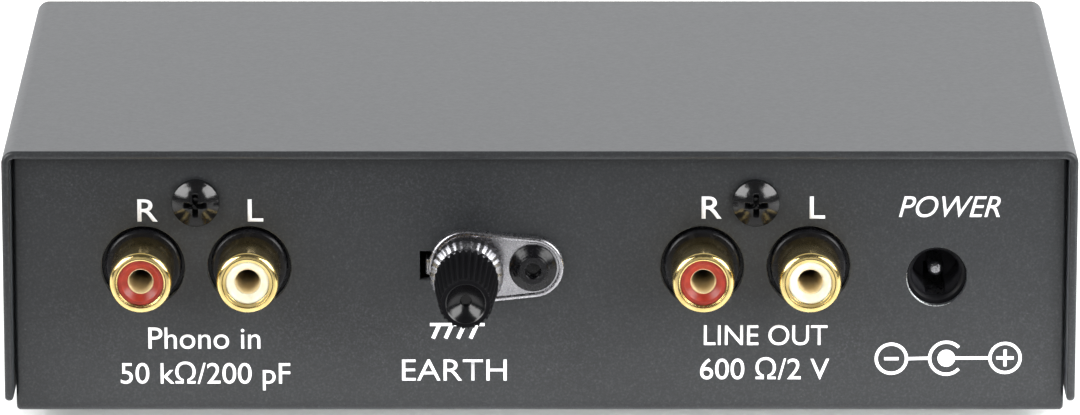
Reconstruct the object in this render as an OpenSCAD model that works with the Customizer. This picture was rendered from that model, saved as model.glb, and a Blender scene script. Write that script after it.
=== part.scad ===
// Phono preamp in a folded steel case, with its connector side towards -Y.
// Inside the modules x = 0 is the middle of the case, y = 0 the outside face of the connector
// panel and z = 0 the underside of the base. in_frame() stands the whole on its feet.

/* [Case] */
// Width over the cover's sides
cover_w = 141.3; // [136:0.1:160]
// Depth over the connector panel and the front panel
case_d = 80.2; // [76:0.1:100]
// Height of the cover's top above the underside of the base
case_h = 36.2; // [36:0.1:44]
// Thickness of the steel sheet
sheet_t = 1.1; // [0.8:0.1:1.5]
// Outside radius of the bends
bend_r = 1.7; // [1.7:0.1:3]
// How far the cover stands past each panel
cover_lip = 2.1; // [1:0.1:4]
// How far the cover's sides stop above the underside of the base
cover_lift = 2; // [1:0.1:4]
// Gap between the cover and the base
cover_gap = 0.3; // [0.2:0.05:0.8]
// Radius of the sheet's cut corners
corner_r = 1; // [0.4:0.1:1.5]
// Height of the base's side flanges
flange_h = 13; // [12:0.5:18]
// Gap between a side flange and the panel beside it
flange_relief = 1.2; // [0.8:0.1:3]

/* [Feet] */
// Radius of a rubber foot where it is stuck on
foot_r = 5; // [3:0.1:7]
// Height of a rubber foot
foot_h = 2; // [1:0.1:4]
// How much narrower a foot is on the floor
foot_taper = 0.5; // [0.1:0.1:1]
// Distance of a foot's centre from the base's edges
foot_inset = 14; // [10:0.5:20]

/* [Screws] */
// Radius of a machine screw's shank
screw_r = 1.45; // [1.2:0.05:1.6]
// Radial clearance of a screw in its threaded hole
thread_gap = 0.05; // [0.02:0.01:0.1]
// Radial clearance of a screw in a plain hole
plain_gap = 0.25; // [0.1:0.05:0.4]
// Radius of a pan head
head_r = 3.15; // [2.8:0.05:3.4]
// Height of a pan head on the panel
head_h = 2.1; // [1.6:0.1:2.4]
// Height of the flatter heads at the cover's sides
cover_head_h = 1.7; // [1.4:0.1:2]
// Length of a cover screw below its head
cover_screw_l = 6; // [5:0.5:8]
// Height of a cover screw above the underside of the base
cover_screw_z = 8; // [7:0.5:8.5]
// Distance of the cover screws from the panels
cover_screw_inset = 26; // [20:1:32]
// Depth of the cross recess in a head
recess_depth = 1.2; // [0.8:0.1:1.4]
// Width of a wing of the cross recess
recess_w = 0.75; // [0.5:0.05:1]
// Length over two wings of the cross recess
recess_span = 3.4; // [2.4:0.1:3.8]

/* [Circuit board] */
// Gap between the board's sides and the base's flanges
board_side_gap = 4.15; // [3:0.05:6]
// Gap between the front panel's inner face and the board's edge
board_front_gap = 3.6; // [3:0.1:5]
// Thickness of the board
board_t = 1.6; // [1:0.1:2]
// Gap between the connector panel's inner face and the board's edge
board_gap = 2.4; // [1.5:0.1:3]
// Height of the standoffs under the board
standoff_h = 9.5; // [9:0.1:10]
// Width of a hexagonal standoff across its corners
standoff_w = 6.3; // [5.6:0.1:6.6]
// Distance of the standoffs from the board's sides and front edge
standoff_inset = 5; // [4.5:0.5:7]
// Distance of the rear standoffs from the board's connector edge
standoff_back = 16; // [15.5:0.5:20]
// Length of a board screw below its head
board_screw_l = 6; // [4:0.5:8]

/* [Board parts] */
// Length of an op-amp and of its socket
opamp_l = 9.6; // [9:0.1:10]
// Width of an op-amp
opamp_w = 6.4; // [6:0.1:6.6]
// Height of an op-amp
opamp_h = 3.4; // [3:0.1:4]
// Width of an op-amp's socket
socket_w = 10; // [9.6:0.1:10.4]
// Height of an op-amp's socket
socket_h = 4; // [3.5:0.1:4.5]
// Distance of the op-amps' middle from the connector edge
opamp_row = 30; // [28:0.5:31]
// Sideways places of the two op-amps
opamp_xs = [-38, -8];
// Width of the voltage regulator
regulator_w = 10.2; // [9.8:0.1:10.6]
// Thickness of the voltage regulator
regulator_t = 4.5; // [4.2:0.1:4.8]
// Height of the voltage regulator's body
regulator_h = 9.2; // [8.8:0.1:9.6]
// Height of the voltage regulator's metal tab
regulator_tab_h = 6.4; // [6:0.1:6.8]
// Length of the voltage regulator's legs
regulator_leg = 4; // [2:0.1:5]
// Sideways place of the voltage regulator
regulator_x = 44; // [42:0.5:46]
// Sideways place of the rectifier diode
diode_x = 57; // [54:0.5:57]
// Radius of the rectifier diode
diode_r = 1.35; // [1.2:0.05:1.5]
// Length of the rectifier diode
diode_l = 5.2; // [4.6:0.1:5.4]
// Radius of a resistor
resistor_r = 1.15; // [0.9:0.05:1.3]
// Length of a resistor
resistor_l = 6.2; // [5.6:0.1:6.6]
// Distance between neighbouring resistors, end to end
resistor_step = 11; // [10.2:0.1:12]
// Distance between the two rows of resistors
resistor_pitch = 5; // [4:0.1:6]
// Number of resistors in a row
resistor_count = 7; // [3:1:7]
// Radius of a supply capacitor
supply_cap_r = 6.3; // [5:0.1:7]
// Gap between a supply capacitor and the cover
supply_cap_gap = 2.9; // [2:0.1:8]
// Sideways places of the supply capacitors
supply_cap_xs = [26, 44];
// Distance of the supply capacitors and the resistors from the front edge
front_row = 20; // [18:0.5:21]
// Radius of a coupling capacitor
coupling_cap_r = 3.2; // [2.5:0.1:3.4]
// Height of a coupling capacitor
coupling_cap_h = 11.5; // [9:0.5:15]
// Distance of the coupling capacitors from the connector edge
coupling_row = 22; // [21:0.5:22.5]
// Sideways places of the coupling capacitors
coupling_cap_xs = [-54, -45.5, 6, 17.5];
// Length of a film capacitor
film_l = 7.2; // [6:0.1:7.6]
// Width of a film capacitor
film_w = 4.5; // [3:0.1:4.8]
// Height of a film capacitor
film_h = 8; // [6:0.5:12]
// Distances of the film capacitors from the connector edge
film_rows = [32, 38];
// Sideways places of the film capacitors
film_xs = [-58, -48, -22, 8];

/* [Phono jacks] */
// Distance between the two jacks of a pair
jack_pitch = 14; // [13.5:0.1:15]
// Height of the jack axes above the underside of the base
jack_z = 20.02; // [19.5:0.01:20.5]
// Sideways place of the input pair
input_x = -45.25; // [-47:0.05:-44]
// Sideways place of the output pair
output_x = 28.4; // [27:0.05:29]
// Outside radius of a gold shell
shell_r = 4.1; // [4:0.05:4.3]
// Wall thickness of a gold shell
shell_wall = 0.95; // [0.6:0.05:1]
// How far a shell stands out of the panel
shell_reach = 8.45; // [7:0.05:10]
// How far a shell goes on behind the panel's outside face
shell_tail = 6; // [4:0.1:7]
// Height of the shoulder by which a shell rests on its collar
shell_step = 0.3; // [0.15:0.05:0.4]
// Radius of the black collar around a shell
collar_r = 5; // [4.8:0.05:5.2]
// How far the collar stands out of the panel
collar_proud = 0.2; // [0:0.05:0.6]
// Chamfer at the collar's front edge
collar_chamfer = 0.3; // [0.1:0.05:0.5]
// Radial clearance between the collar and its panel hole
collar_gap = 0.5; // [0.3:0.05:0.7]
// Clearance between the pieces pressed into each other in a jack
jack_fit = 0.05; // [0.02:0.01:0.08]
// How far the insulator lies behind the shell's rim
insulator_recess = 0.35; // [0.1:0.05:0.8]
// Radius of the hole for the plug's pin
pin_hole_r = 1.7; // [1.6:0.05:1.75]
// Radius at the mouth of the insulator's dished front
dish_r = 2.5; // [2:0.05:2.8]
// Depth of the insulator's dished front
dish_depth = 0.7; // [0.3:0.05:1.2]
// Wall thickness of a centre contact
contact_wall = 0.35; // [0.3:0.05:0.4]
// How much wider than the pin's hole a centre contact's seat is
contact_step = 0.2; // [0.2:0.05:0.3]
// How far a centre contact lies behind the insulator's front
contact_depth = 4; // [3:0.1:5]
// Width of the slits in a centre contact
contact_slit = 0.4; // [0.3:0.05:0.6]
// Width of a jack pair's housing
jack_block_w = 26.6; // [25:0.1:27]
// Depth of a jack pair's housing
jack_block_d = 10; // [9:0.1:12]
// Height of a jack pair's shoulders above the jack axes
jack_shoulder = 5.6; // [5.2:0.1:6]
// Height of the jack screws above the jack axes
jack_screw_rise = 8.8; // [8.6:0.1:9.2]
// Radius of the boss around a jack screw
jack_boss_r = 3.6; // [3:0.1:3.9]
// Length of a jack screw below its head
jack_screw_l = 8; // [6:0.5:9]

/* [Power jack] */
// Sideways place of the power jack
dc_x = 52.31; // [50:0.01:53]
// Height of the power jack's axis above the underside of the base
dc_z = 18.65; // [18.4:0.01:19]
// Radius of the panel's hole for the power plug
dc_hole_r = 4; // [3.8:0.05:4.5]
// Radius of the jack's mouth
dc_mouth_r = 3.2; // [3:0.05:3.4]
// Chamfer at the jack's mouth
dc_chamfer = 0.4; // [0.2:0.05:0.6]
// Depth of the jack's mouth
dc_mouth_depth = 9.5; // [8:0.1:10.5]
// Distance of the jack's front from the panel's inner face
dc_setback = 0.5; // [0.2:0.1:1]
// Radius of the centre pin
dc_pin_r = 1; // [0.95:0.05:1.25]
// Distance of the centre pin's tip behind the jack's front
dc_pin_depth = 2.2; // [1:0.1:3]
// Width and height of the jack's housing
dc_block_w = 9.2; // [8.8:0.1:10]
// Depth of the jack's housing
dc_block_d = 14; // [13:0.1:16]
// Thickness of the jack's side contact
dc_leaf_t = 0.3; // [0.2:0.05:0.4]
// Width of the jack's side contact
dc_leaf_w = 2.4; // [1.8:0.1:3]

/* [Ground terminal] */
// Sideways place of the stud
stud_x = -9.6; // [-11:0.05:-8]
// Height of the ground terminal above the underside of the base
ground_z = 20.2; // [19.5:0.05:21]
// Radius of the stud
stud_r = 1.95; // [1.8:0.05:2]
// Distance from the stud to the rivet
rivet_pitch = 8.7; // [8.5:0.1:9.5]
// Thickness of the ground plate
plate_t = 1.2; // [0.8:0.05:1.5]
// Radius of the plate around the stud
plate_big_r = 5; // [4.9:0.05:5.3]
// Radius of the plate around the rivet
plate_small_r = 4.06; // [3.8:0.02:4.4]
// Width of the plate's bent tab
tab_w = 2.1; // [1.6:0.1:2.6]
// Thickness of the plate's bent tab
tab_t = 0.9; // [0.6:0.05:1]
// How far the tab goes on behind the panel's outside face
tab_l = 7; // [6:0.5:9]
// Height of the panel's slot for the tab
slot_h = 3.85; // [3:0.05:4.2]
// Width of the panel's slot for the tab
slot_w = 2.3; // [1.8:0.05:2.6]
// How far the slot starts inside the tab's bend
slot_shift = 0.75; // [0.6:0.05:0.9]
// Radius of the rivet's head
rivet_head_r = 3.15; // [2.9:0.05:3.3]
// Height of the rivet's head
rivet_head_h = 1.5; // [1.2:0.1:2]
// Radius of the rivet's shank
rivet_r = 1.6; // [1.5:0.05:1.7]
// Radius of the ring around the rivet's hole
rivet_ring_r = 1.95; // [1.7:0.05:2.1]
// Radius of the rivet's hole
rivet_hole_r = 1; // [0.8:0.05:1.2]
// Width of the lock nut over its corners
lock_nut_w = 8.1; // [7.5:0.1:8.2]
// Height of the lock nut
lock_nut_h = 3.2; // [2.4:0.1:3.6]

/* [Thumb nut] */
// Distance from the plate to the clamp collar at rest
collar_open = 2.3; // [2.1:0.1:3]
// Thickness of the clamp collar
clamp_t = 3.7; // [3:0.1:4.5]
// Radius of the clamp collar's serrated rim
clamp_rim_r = 4.83; // [4.4:0.01:4.9]
// Thickness of the clamp collar's serrated rim
clamp_rim_t = 1.7; // [1:0.1:2]
// Radius of the serrations where the collar's cone ends
clamp_cone_r = 4; // [3.9:0.05:4.3]
// Radius of the collar's plain neck
clamp_neck_r = 3.6; // [3.5:0.05:3.7]
// Gap between the clamp collar and the thumb nut
clamp_gap = 0.1; // [0.05:0.01:0.15]
// Radius of the knurled end of the thumb nut
nut_r = 4.22; // [4.1:0.01:4.5]
// Radius of the thumb nut's outer end
nut_tip_r = 3.5; // [3.3:0.05:3.8]
// Length of the thumb nut
nut_l = 11.6; // [11.5:0.1:14]
// Length of the nut's straight part
nut_straight = 2.2; // [1.5:0.1:3]
// Chamfer of the teeth at the nut's outer end
nut_round = 0.35; // [0.2:0.05:0.5]
// Chamfer of the teeth at the nut's back
nut_back_chamfer = 0.15; // [0.1:0.05:0.3]
// Number of teeth in the knurl
knurl_teeth = 30; // [24:1:36]
// Depth of the knurl
knurl_depth = 0.4; // [0.2:0.01:0.45]
// Radius of the dish in the nut's outer end
nut_dish_r = 2.6; // [2:0.05:2.7]
// Radius of the dish's floor
nut_dish_floor_r = 0.75; // [0.5:0.05:1.2]
// Depth of the dish in the nut's outer end
nut_dish_depth = 2; // [1.2:0.1:2.4]
// Wall thickness of the brass insert
insert_wall = 0.9; // [0.7:0.05:1.1]
// Running clearance of the insert on the stud and in the collar
run_gap = 0.05; // [0.03:0.01:0.08]
// Width of the insert's flared rim
flare_w = 0.5; // [0.3:0.05:0.6]
// Thickness of the insert's flared rim
flare_t = 0.5; // [0.3:0.05:0.7]
// How far the stud reaches into the thumb nut
stud_engage = 3.8; // [3:0.1:4]

/* [Power light] */
// Sideways place of the power light
led_x = -50; // [-54:0.5:50]
// Height of the power light above the board
led_rise = 6.4; // [5:0.1:8]
// Radius of the lamp
led_r = 1.5; // [1.45:0.05:1.6]
// How far the lamp stands out of the front panel
led_proud = 1; // [0.5:0.1:1.5]
// Radial clearance of the lamp in its hole
led_gap = 0.1; // [0.05:0.05:0.3]
// Width of the lamp's spacer
spacer_w = 5; // [4.6:0.1:6]
// Depth of the lamp's spacer
spacer_d = 5; // [4:0.1:6]

/* [Hidden] */

// Case
base_w = cover_w - 2 * sheet_t - 2 * cover_gap;
panel_h = case_h - sheet_t - cover_gap;
flange_y = bend_r + flange_relief;
cut = 1;

// Screws
thread_hole_r = screw_r + thread_gap;
plain_hole_r = screw_r + plain_gap;
head_rise = 0.8;
rim_wall = 0.9;
rim_l = 1.3;
cover_screw_ys = [cover_screw_inset, case_d - cover_screw_inset];

// Board
board_w = base_w - 2 * sheet_t - 2 * board_side_gap;
board_d = case_d - 2 * sheet_t - board_gap - board_front_gap;
board_y = sheet_t + board_gap;
board_z = sheet_t + standoff_h;
board_top = board_z + board_t;
lead_lift = 0.25;
diode_lead_r = 0.4;
diode_lead_run = 2.4;
resistor_lead_r = 0.3;
resistor_lead_run = 1.5;
resistor_inset = 2;
standoff_xs = [-board_w / 2 + standoff_inset, board_w / 2 - standoff_inset];
standoff_ys = [board_y + standoff_back, board_y + board_d - standoff_inset];

// Phono jacks: right and left channel of each pair, seen from the connector side
jack_xs = [input_x - jack_pitch / 2, input_x + jack_pitch / 2,
    output_x - jack_pitch / 2, output_x + jack_pitch / 2];
panel_hole_r = collar_r + collar_gap;
shell_bore_r = shell_r - shell_wall;
insulator_r = shell_bore_r - jack_fit;
insulator_reach = shell_reach - insulator_recess;
jack_screw_z = jack_z + jack_screw_rise;
block_gap = 0.1;
contact_tail = 2.5;
contact_seat_r = pin_hole_r + contact_step;
contact_root = 4;
contact_back = shell_tail + contact_tail;

// Power jack
dc_front_y = sheet_t + dc_setback;
dc_pin_y = dc_front_y + dc_pin_depth;
dc_floor = 0.9;
dc_tail_r = dc_pin_r - 0.2;
leaf_crown = 1.1;
leaf_rise = 2.2;
leaf_top = 1.2;
leaf_fall = 3.1;
leaf_bend = 0.1;

// Ground terminal
rivet_x = stud_x + rivet_pitch;
tab_x = stud_x - plate_big_r - tab_t / 2;
slot_x = tab_x - slot_shift;
rivet_hole_gap = 0.05;
rivet_bulb_l = 2.6;
stud_hole_gap = 0.35;

// Thumb nut
clamp_y = plate_t + collar_open;
nut_y = clamp_y + clamp_t + clamp_gap;
nut_front = nut_y + nut_l;
insert_bore_r = stud_r + run_gap;
insert_r = insert_bore_r + insert_wall;
flare_r = insert_r + flare_w;
insert_back = clamp_y + clamp_gap;
stud_tip = nut_y + stud_engage;
insert_front = nut_front - nut_dish_depth - 1.4;

// Power light
led_z = board_top + led_rise;
led_hole_r = led_r + led_gap;
led_tip = case_d + led_proud;
board_front = board_y + board_d;

// The frame's origin: middle of the whole, on the floor
frame_y = (nut_front - case_d - cover_lip) / 2;

steel = "#57585b";
black = "#1b1b1d";
gold = "#d8b45a";
nickel = "#c4c6c9";
brass = "#c9a24a";
tin = "#b9bcc0";

// ---------------------------------------------------------------- placing

module in_frame() {
    translate([0, frame_y, foot_h]) children();
}

// Local z points out of the connector panel from y
module outward(x, z, y = 0) {
    translate([x, y, z]) rotate([90, 0, 0]) children();
}

// Local z points out of the cover's side s
module sideways(s, y, z) {
    translate([s * cover_w / 2, y, z]) rotate([0, s * 90, 0]) children();
}

module tube(r, bore, h) {
    difference() {
        cylinder(r = r, h = h, $fn = 64);
        translate([0, 0, -cut]) cylinder(r = bore, h = h + 2 * cut, $fn = 64);
    }
}

// ---------------------------------------------------------------- sheet metal

// Flat shape with its two upper corners rounded, standing on y = 0
module arch(w, h, r) {
    translate([-w / 2, 0]) square([w, h - r]);
    translate([-w / 2 + r, 0]) square([w - 2 * r, h]);
    for (s = [-1, 1]) translate([s * (w / 2 - r), h - r]) circle(r, $fn = 48);
}

// Section of a sheet folded twice, open at the bottom
module folded_section(w, h) {
    difference() {
        arch(w, h, bend_r);
        translate([0, -cut]) arch(w - 2 * sheet_t, h - sheet_t + cut, bend_r - sheet_t);
    }
}

// What a rounded corner of radius r takes off, drawn in the corner at the origin
module corner_waste(r) {
    difference() {
        translate([-cut, -cut]) square([r + cut, r + cut]);
        translate([r, r]) circle(r, $fn = 32);
    }
}

module flange_rims() {
    for (s = [-1, 1]) for (y = cover_screw_ys)
        translate([s * (base_w / 2 - sheet_t), y, cover_screw_z]) rotate([0, -s * 90, 0])
            cylinder(r = thread_hole_r + rim_wall, h = rim_l, $fn = 32);
}

module flange_holes() {
    for (s = [-1, 1]) for (y = cover_screw_ys)
        translate([s * (base_w / 2 + cut), y, cover_screw_z]) rotate([0, -s * 90, 0])
            cylinder(r = thread_hole_r, h = sheet_t + rim_l + 2 * cut, $fn = 32);
}

module panel_hole(x, z, r) {
    outward(x, z, sheet_t + cut) cylinder(r = r, h = sheet_t + 2 * cut, $fn = 64);
}

module connector_panel_holes() {
    for (x = jack_xs) panel_hole(x, jack_z, panel_hole_r);
    for (x = [input_x, output_x]) panel_hole(x, jack_screw_z, plain_hole_r);
    panel_hole(dc_x, dc_z, dc_hole_r);
    panel_hole(stud_x, ground_z, stud_r + stud_hole_gap);
    panel_hole(rivet_x, ground_z, rivet_r + rivet_hole_gap);
    translate([slot_x, -cut, ground_z - slot_h / 2]) cube([slot_w, sheet_t + 2 * cut, slot_h]);
}

// The floor and the two panels, one strip folded up at both ends
module panel_strip() {
    translate([-base_w / 2, 0, 0]) rotate([90, 0, 90]) linear_extrude(base_w)
        translate([case_d / 2, panel_h]) mirror([0, 1]) folded_section(case_d, panel_h);
}

module side_flanges() {
    outward(0, flange_h, case_d - flange_y) linear_extrude(case_d - 2 * flange_y)
        mirror([0, 1]) folded_section(base_w, flange_h);
}

module base_pan() {
    color(steel) in_frame() difference() {
        union() {
            difference() {
                panel_strip();
                for (s = [0, 1]) mirror([s, 0, 0])
                    translate([base_w / 2 - bend_r, flange_y, -cut])
                        cube([bend_r + cut, case_d - 2 * flange_y, sheet_t + 2 * cut]);
                for (s = [0, 1]) mirror([s, 0, 0]) translate([-base_w / 2, case_d + cut, 0])
                    rotate([90, 0, 0]) linear_extrude(case_d + 2 * cut) corner_waste(corner_r / 2);
            }
            side_flanges();
            flange_rims();
        }
        flange_holes();
        connector_panel_holes();
        translate([led_x, case_d + cut, led_z]) rotate([90, 0, 0])
            cylinder(r = led_hole_r, h = sheet_t + 2 * cut, $fn = 32);
    }
}

module top_cover() {
    color(steel) in_frame() difference() {
        outward(0, cover_lift, case_d + cover_lip) linear_extrude(case_d + 2 * cover_lip)
            folded_section(cover_w, case_h - cover_lift);
        for (end = [0, 1])
            translate([-cover_w / 2 - cut, end * case_d - (1 - 2 * end) * cover_lip, cover_lift])
                rotate([90, 0, 90]) linear_extrude(cover_w + 2 * cut)
                    mirror([end, 0]) corner_waste(corner_r);
        for (s = [-1, 1]) for (y = cover_screw_ys) sideways(s, y, cover_screw_z)
            translate([0, 0, -sheet_t - cut])
                cylinder(r = plain_hole_r, h = sheet_t + 2 * cut, $fn = 32);
    }
}

// ---------------------------------------------------------------- fasteners and feet

// Wings of a cross recess that narrow towards their floor
module cross_recess(h) {
    floor_span = recess_span * 0.5;
    for (turn = [0, 90]) rotate(turn) translate([0, recess_w / 2, h]) rotate([90, 0, 0])
        linear_extrude(recess_w) polygon([[-recess_span / 2, cut], [-recess_span / 2, 0],
            [-floor_span / 2, -recess_depth], [floor_span / 2, -recess_depth],
            [recess_span / 2, 0], [recess_span / 2, cut]]);
}

// Head with a short straight rim and a domed top
module domed_head(r, h, rise) {
    dome_r = (r * r + rise * rise) / (2 * rise);
    rotate_extrude($fn = 64) intersection() {
        square([r, h]);
        translate([0, h - dome_r]) circle(dome_r, $fn = 96);
    }
}

// Pan-head machine screw, its head standing on z = 0
module pan_screw(h, length) {
    difference() {
        union() {
            domed_head(head_r, h, min(h - 0.4, head_rise * h / 1.3));
            translate([0, 0, -length]) cylinder(r = screw_r, h = length + 0.1, $fn = 32);
        }
        cross_recess(h - 0.15);
    }
}

module cover_screws() {
    color(black) in_frame() for (s = [-1, 1]) for (y = cover_screw_ys)
        sideways(s, y, cover_screw_z) pan_screw(cover_head_h, cover_screw_l);
}

module foot(sx, sy) {
    color(black) in_frame()
        translate([sx * (base_w / 2 - foot_inset), sy ? case_d - foot_inset : foot_inset, -foot_h])
            rotate_extrude($fn = 64) polygon([[0, 0], [foot_r - foot_taper - 0.3, 0],
                [foot_r - foot_taper, 0.3], [foot_r, foot_h], [0, foot_h]]);
}

module board_standoffs() {
    color(brass) in_frame() for (x = standoff_xs) for (y = standoff_ys)
        translate([x, y, sheet_t]) difference() {
            cylinder(d = standoff_w, h = standoff_h, $fn = 6);
            translate([0, 0, 1]) cylinder(r = thread_hole_r, h = standoff_h, $fn = 32);
        }
}

module board_screws() {
    color(tin) in_frame() for (x = standoff_xs) for (y = standoff_ys)
        translate([x, y, board_top]) pan_screw(head_h, board_screw_l);
}

// ---------------------------------------------------------------- circuit board

module circuit_board() {
    color("#2c6b46") in_frame() translate([0, board_y, board_z]) difference() {
        translate([-board_w / 2, 0, 0]) cube([board_w, board_d, board_t]);
        for (x = standoff_xs) for (y = standoff_ys) translate([x, y - board_y, -cut])
            cylinder(r = plain_hole_r, h = board_t + 2 * cut, $fn = 32);
    }
}

// Places a part on the board, x across the case and y behind the board's connector edge
module on_board(x, y) {
    translate([x, board_y + y, board_top]) children();
}

module opamp_sockets() {
    wall = 1.4;
    row_w = 3;
    color("#2b2b2e") in_frame() for (x = opamp_xs) on_board(x, opamp_row)
        translate([-opamp_l / 2, -socket_w / 2, 0]) difference() {
            cube([opamp_l, socket_w, socket_h]);
            translate([wall, row_w, -cut])
                cube([opamp_l - 2 * wall, socket_w - 2 * row_w, socket_h + 2 * cut]);
        }
}

module op_amps() {
    leg_t = 0.3;
    leg_w = 0.5;
    leg_pitch = (opamp_l - 2) / 3;
    color(black) in_frame() for (x = opamp_xs) on_board(x, opamp_row)
        translate([-opamp_l / 2, -opamp_w / 2, socket_h]) {
            difference() {
                cube([opamp_l, opamp_w, opamp_h]);
                translate([0, opamp_w / 2, opamp_h - 0.5]) cylinder(r = 0.8, h = 1, $fn = 24);
            }
            for (side = [0, 1]) for (i = [0:3])
                translate([1 + i * leg_pitch - leg_w / 2, side * (opamp_w + leg_t) - leg_t, 0])
                    cube([leg_w, leg_t, opamp_h / 2]);
        }
}

module voltage_regulator() {
    tab_t = 1.3;
    leg_w = 0.8;
    leg_t = 0.6;
    color(black) in_frame() on_board(regulator_x, opamp_row) {
        translate([-regulator_w / 2, 0, regulator_leg])
            cube([regulator_w, regulator_t, regulator_h]);
        translate([0, regulator_t, regulator_leg + regulator_h]) rotate([90, 0, 0])
            difference() {
                translate([-regulator_w / 2, 0, 0]) cube([regulator_w, regulator_tab_h, tab_t]);
                translate([0, regulator_tab_h / 2, -cut])
                    cylinder(r = regulator_tab_h * 0.28, h = tab_t + 2 * cut, $fn = 32);
            }
        for (i = [-1:1]) translate([i * regulator_w / 4 - leg_w / 2, regulator_t / 2, 0])
            cube([leg_w, leg_t, regulator_leg]);
    }
}

// Part with leads at both ends, lying along x and bent down into the board
module axial_part(r, length, lead_r, reach, height) {
    bend = 0.8;
    translate([-length / 2, 0, height]) rotate([0, 90, 0]) cylinder(r = r, h = length, $fn = 24);
    for (s = [0, 1]) mirror([s, 0, 0]) {
        translate([length / 2 - 0.1, 0, height]) rotate([0, 90, 0])
            cylinder(r = lead_r, h = reach - length / 2 - bend + 0.1, $fn = 16);
        translate([reach - bend, 0, height - bend]) rotate([90, 0, 0])
            rotate_extrude(angle = 90, $fn = 24) translate([bend, 0]) circle(lead_r, $fn = 16);
        translate([reach, 0, 0]) cylinder(r = lead_r, h = height - bend, $fn = 16);
    }
}

module rectifier_diode() {
    color(black) in_frame() on_board(diode_x, opamp_row) rotate(90)
        axial_part(diode_r, diode_l, diode_lead_r, diode_l / 2 + diode_lead_run,
            diode_r + lead_lift);
}

module resistors() {
    color("#6fa0c8") in_frame() for (i = [0:resistor_count - 1]) for (row = [0, 1])
        on_board(film_xs[0] + resistor_inset + i * resistor_step,
            board_d - front_row - row * resistor_pitch)
            axial_part(resistor_r, resistor_l, resistor_lead_r,
                resistor_l / 2 + resistor_lead_run, resistor_r + lead_lift);
}

// Can with a groove near its foot and a slightly bevelled top
module electrolytic(r, h) {
    groove = 0.3;
    rotate_extrude($fn = 48) polygon([[0, 0], [r, 0], [r, 4 * groove],
        [r - groove, 5 * groove], [r - groove, 7 * groove], [r, 8 * groove],
        [r, h - 0.5], [r - 0.5, h], [0, h]]);
}

module supply_capacitors() {
    color("#22355e") in_frame() for (x = supply_cap_xs) on_board(x, board_d - front_row)
        electrolytic(supply_cap_r, case_h - sheet_t - supply_cap_gap - board_top);
}

module coupling_capacitors() {
    color("#22355e") in_frame() for (x = coupling_cap_xs) on_board(x, coupling_row)
        electrolytic(coupling_cap_r, coupling_cap_h);
}

module film_capacitors() {
    color("#b0382c") in_frame() for (x = film_xs) for (y = film_rows) on_board(x, y)
        translate([-film_l / 2, -film_w / 2, 0]) cube([film_l, film_w, film_h]);
}

// ---------------------------------------------------------------- phono jacks

// Front outline of a jack pair's housing, x across and y up from the board
module jack_block_outline() {
    axis = jack_z - board_top;
    shoulder = axis + jack_shoulder;
    boss = axis + jack_screw_rise;
    half = jack_block_w / 2;
    bevel = 1.5;
    polygon([[-half, 0], [half, 0], [half, shoulder - bevel], [half - bevel, shoulder],
        [jack_boss_r, shoulder], [jack_boss_r, boss], [-jack_boss_r, boss],
        [-jack_boss_r, shoulder], [-half + bevel, shoulder], [-half, shoulder - bevel]]);
    translate([0, boss]) circle(jack_boss_r, $fn = 48);
}

module jack_housing(x) {
    back_y = sheet_t + block_gap + jack_block_d;
    collar_l = sheet_t + block_gap + collar_proud + 0.5;
    color(black) in_frame() difference() {
        union() {
            outward(x, board_top, back_y) linear_extrude(jack_block_d) jack_block_outline();
            for (s = [-1, 1]) outward(x + s * jack_pitch / 2, jack_z, sheet_t + block_gap + 0.5)
                rotate_extrude($fn = 64) polygon([[0, 0], [collar_r, 0],
                    [collar_r, collar_l - collar_chamfer], [collar_r - collar_chamfer, collar_l],
                    [0, collar_l]]);
        }
        for (s = [-1, 1]) outward(x + s * jack_pitch / 2, jack_z, shell_tail + 0.2)
            cylinder(r = shell_r - shell_step + jack_fit, h = shell_tail + cut + 2, $fn = 64);
        for (s = [-1, 1]) outward(x + s * jack_pitch / 2, jack_z, back_y + cut)
            cylinder(r = shell_bore_r, h = jack_block_d, $fn = 64);
        outward(x, jack_screw_z, back_y + cut)
            cylinder(r = thread_hole_r, h = jack_block_d + 2 * cut, $fn = 32);
    }
}

module jack_screws() {
    color(black) in_frame() for (x = [input_x, output_x]) outward(x, jack_screw_z)
        pan_screw(head_h, jack_screw_l);
}

// Turned shell with a rounded rim; its shoulder rests on the collar
module jack_shell(x) {
    rim_r = shell_wall / 2;
    rim_y = shell_reach - rim_r;
    color(gold) in_frame() outward(x, jack_z) rotate_extrude($fn = 96) {
        translate([shell_bore_r, -shell_tail]) square([shell_wall - shell_step, shell_tail + rim_y]);
        translate([shell_bore_r, collar_proud]) square([shell_wall, rim_y - collar_proud]);
        translate([shell_r - rim_r, rim_y]) circle(rim_r, $fn = 48);
    }
}

module jack_insulator(x, shade) {
    length = shell_tail + insulator_reach;
    seat = length - contact_depth + jack_fit;
    color(shade) in_frame() outward(x, jack_z, shell_tail) rotate_extrude($fn = 96)
        polygon([[contact_seat_r, 0], [insulator_r, 0], [insulator_r, length - 0.2],
            [insulator_r - 0.2, length], [dish_r, length], [pin_hole_r, length - dish_depth],
            [pin_hole_r, seat], [contact_seat_r, seat]]);
}

// Slit tube that grips the plug's pin
module jack_contact(x) {
    front = insulator_reach - contact_depth;
    length = contact_back + front;
    r = contact_seat_r - jack_fit;
    color(gold) in_frame() outward(x, jack_z, contact_back) difference() {
        tube(r, r - contact_wall, length);
        for (turn = [0, 90])
            rotate(turn) translate([-r - cut, -contact_slit / 2, contact_root])
                cube([2 * (r + cut), contact_slit, length]);
    }
}

// ---------------------------------------------------------------- power jack

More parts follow.
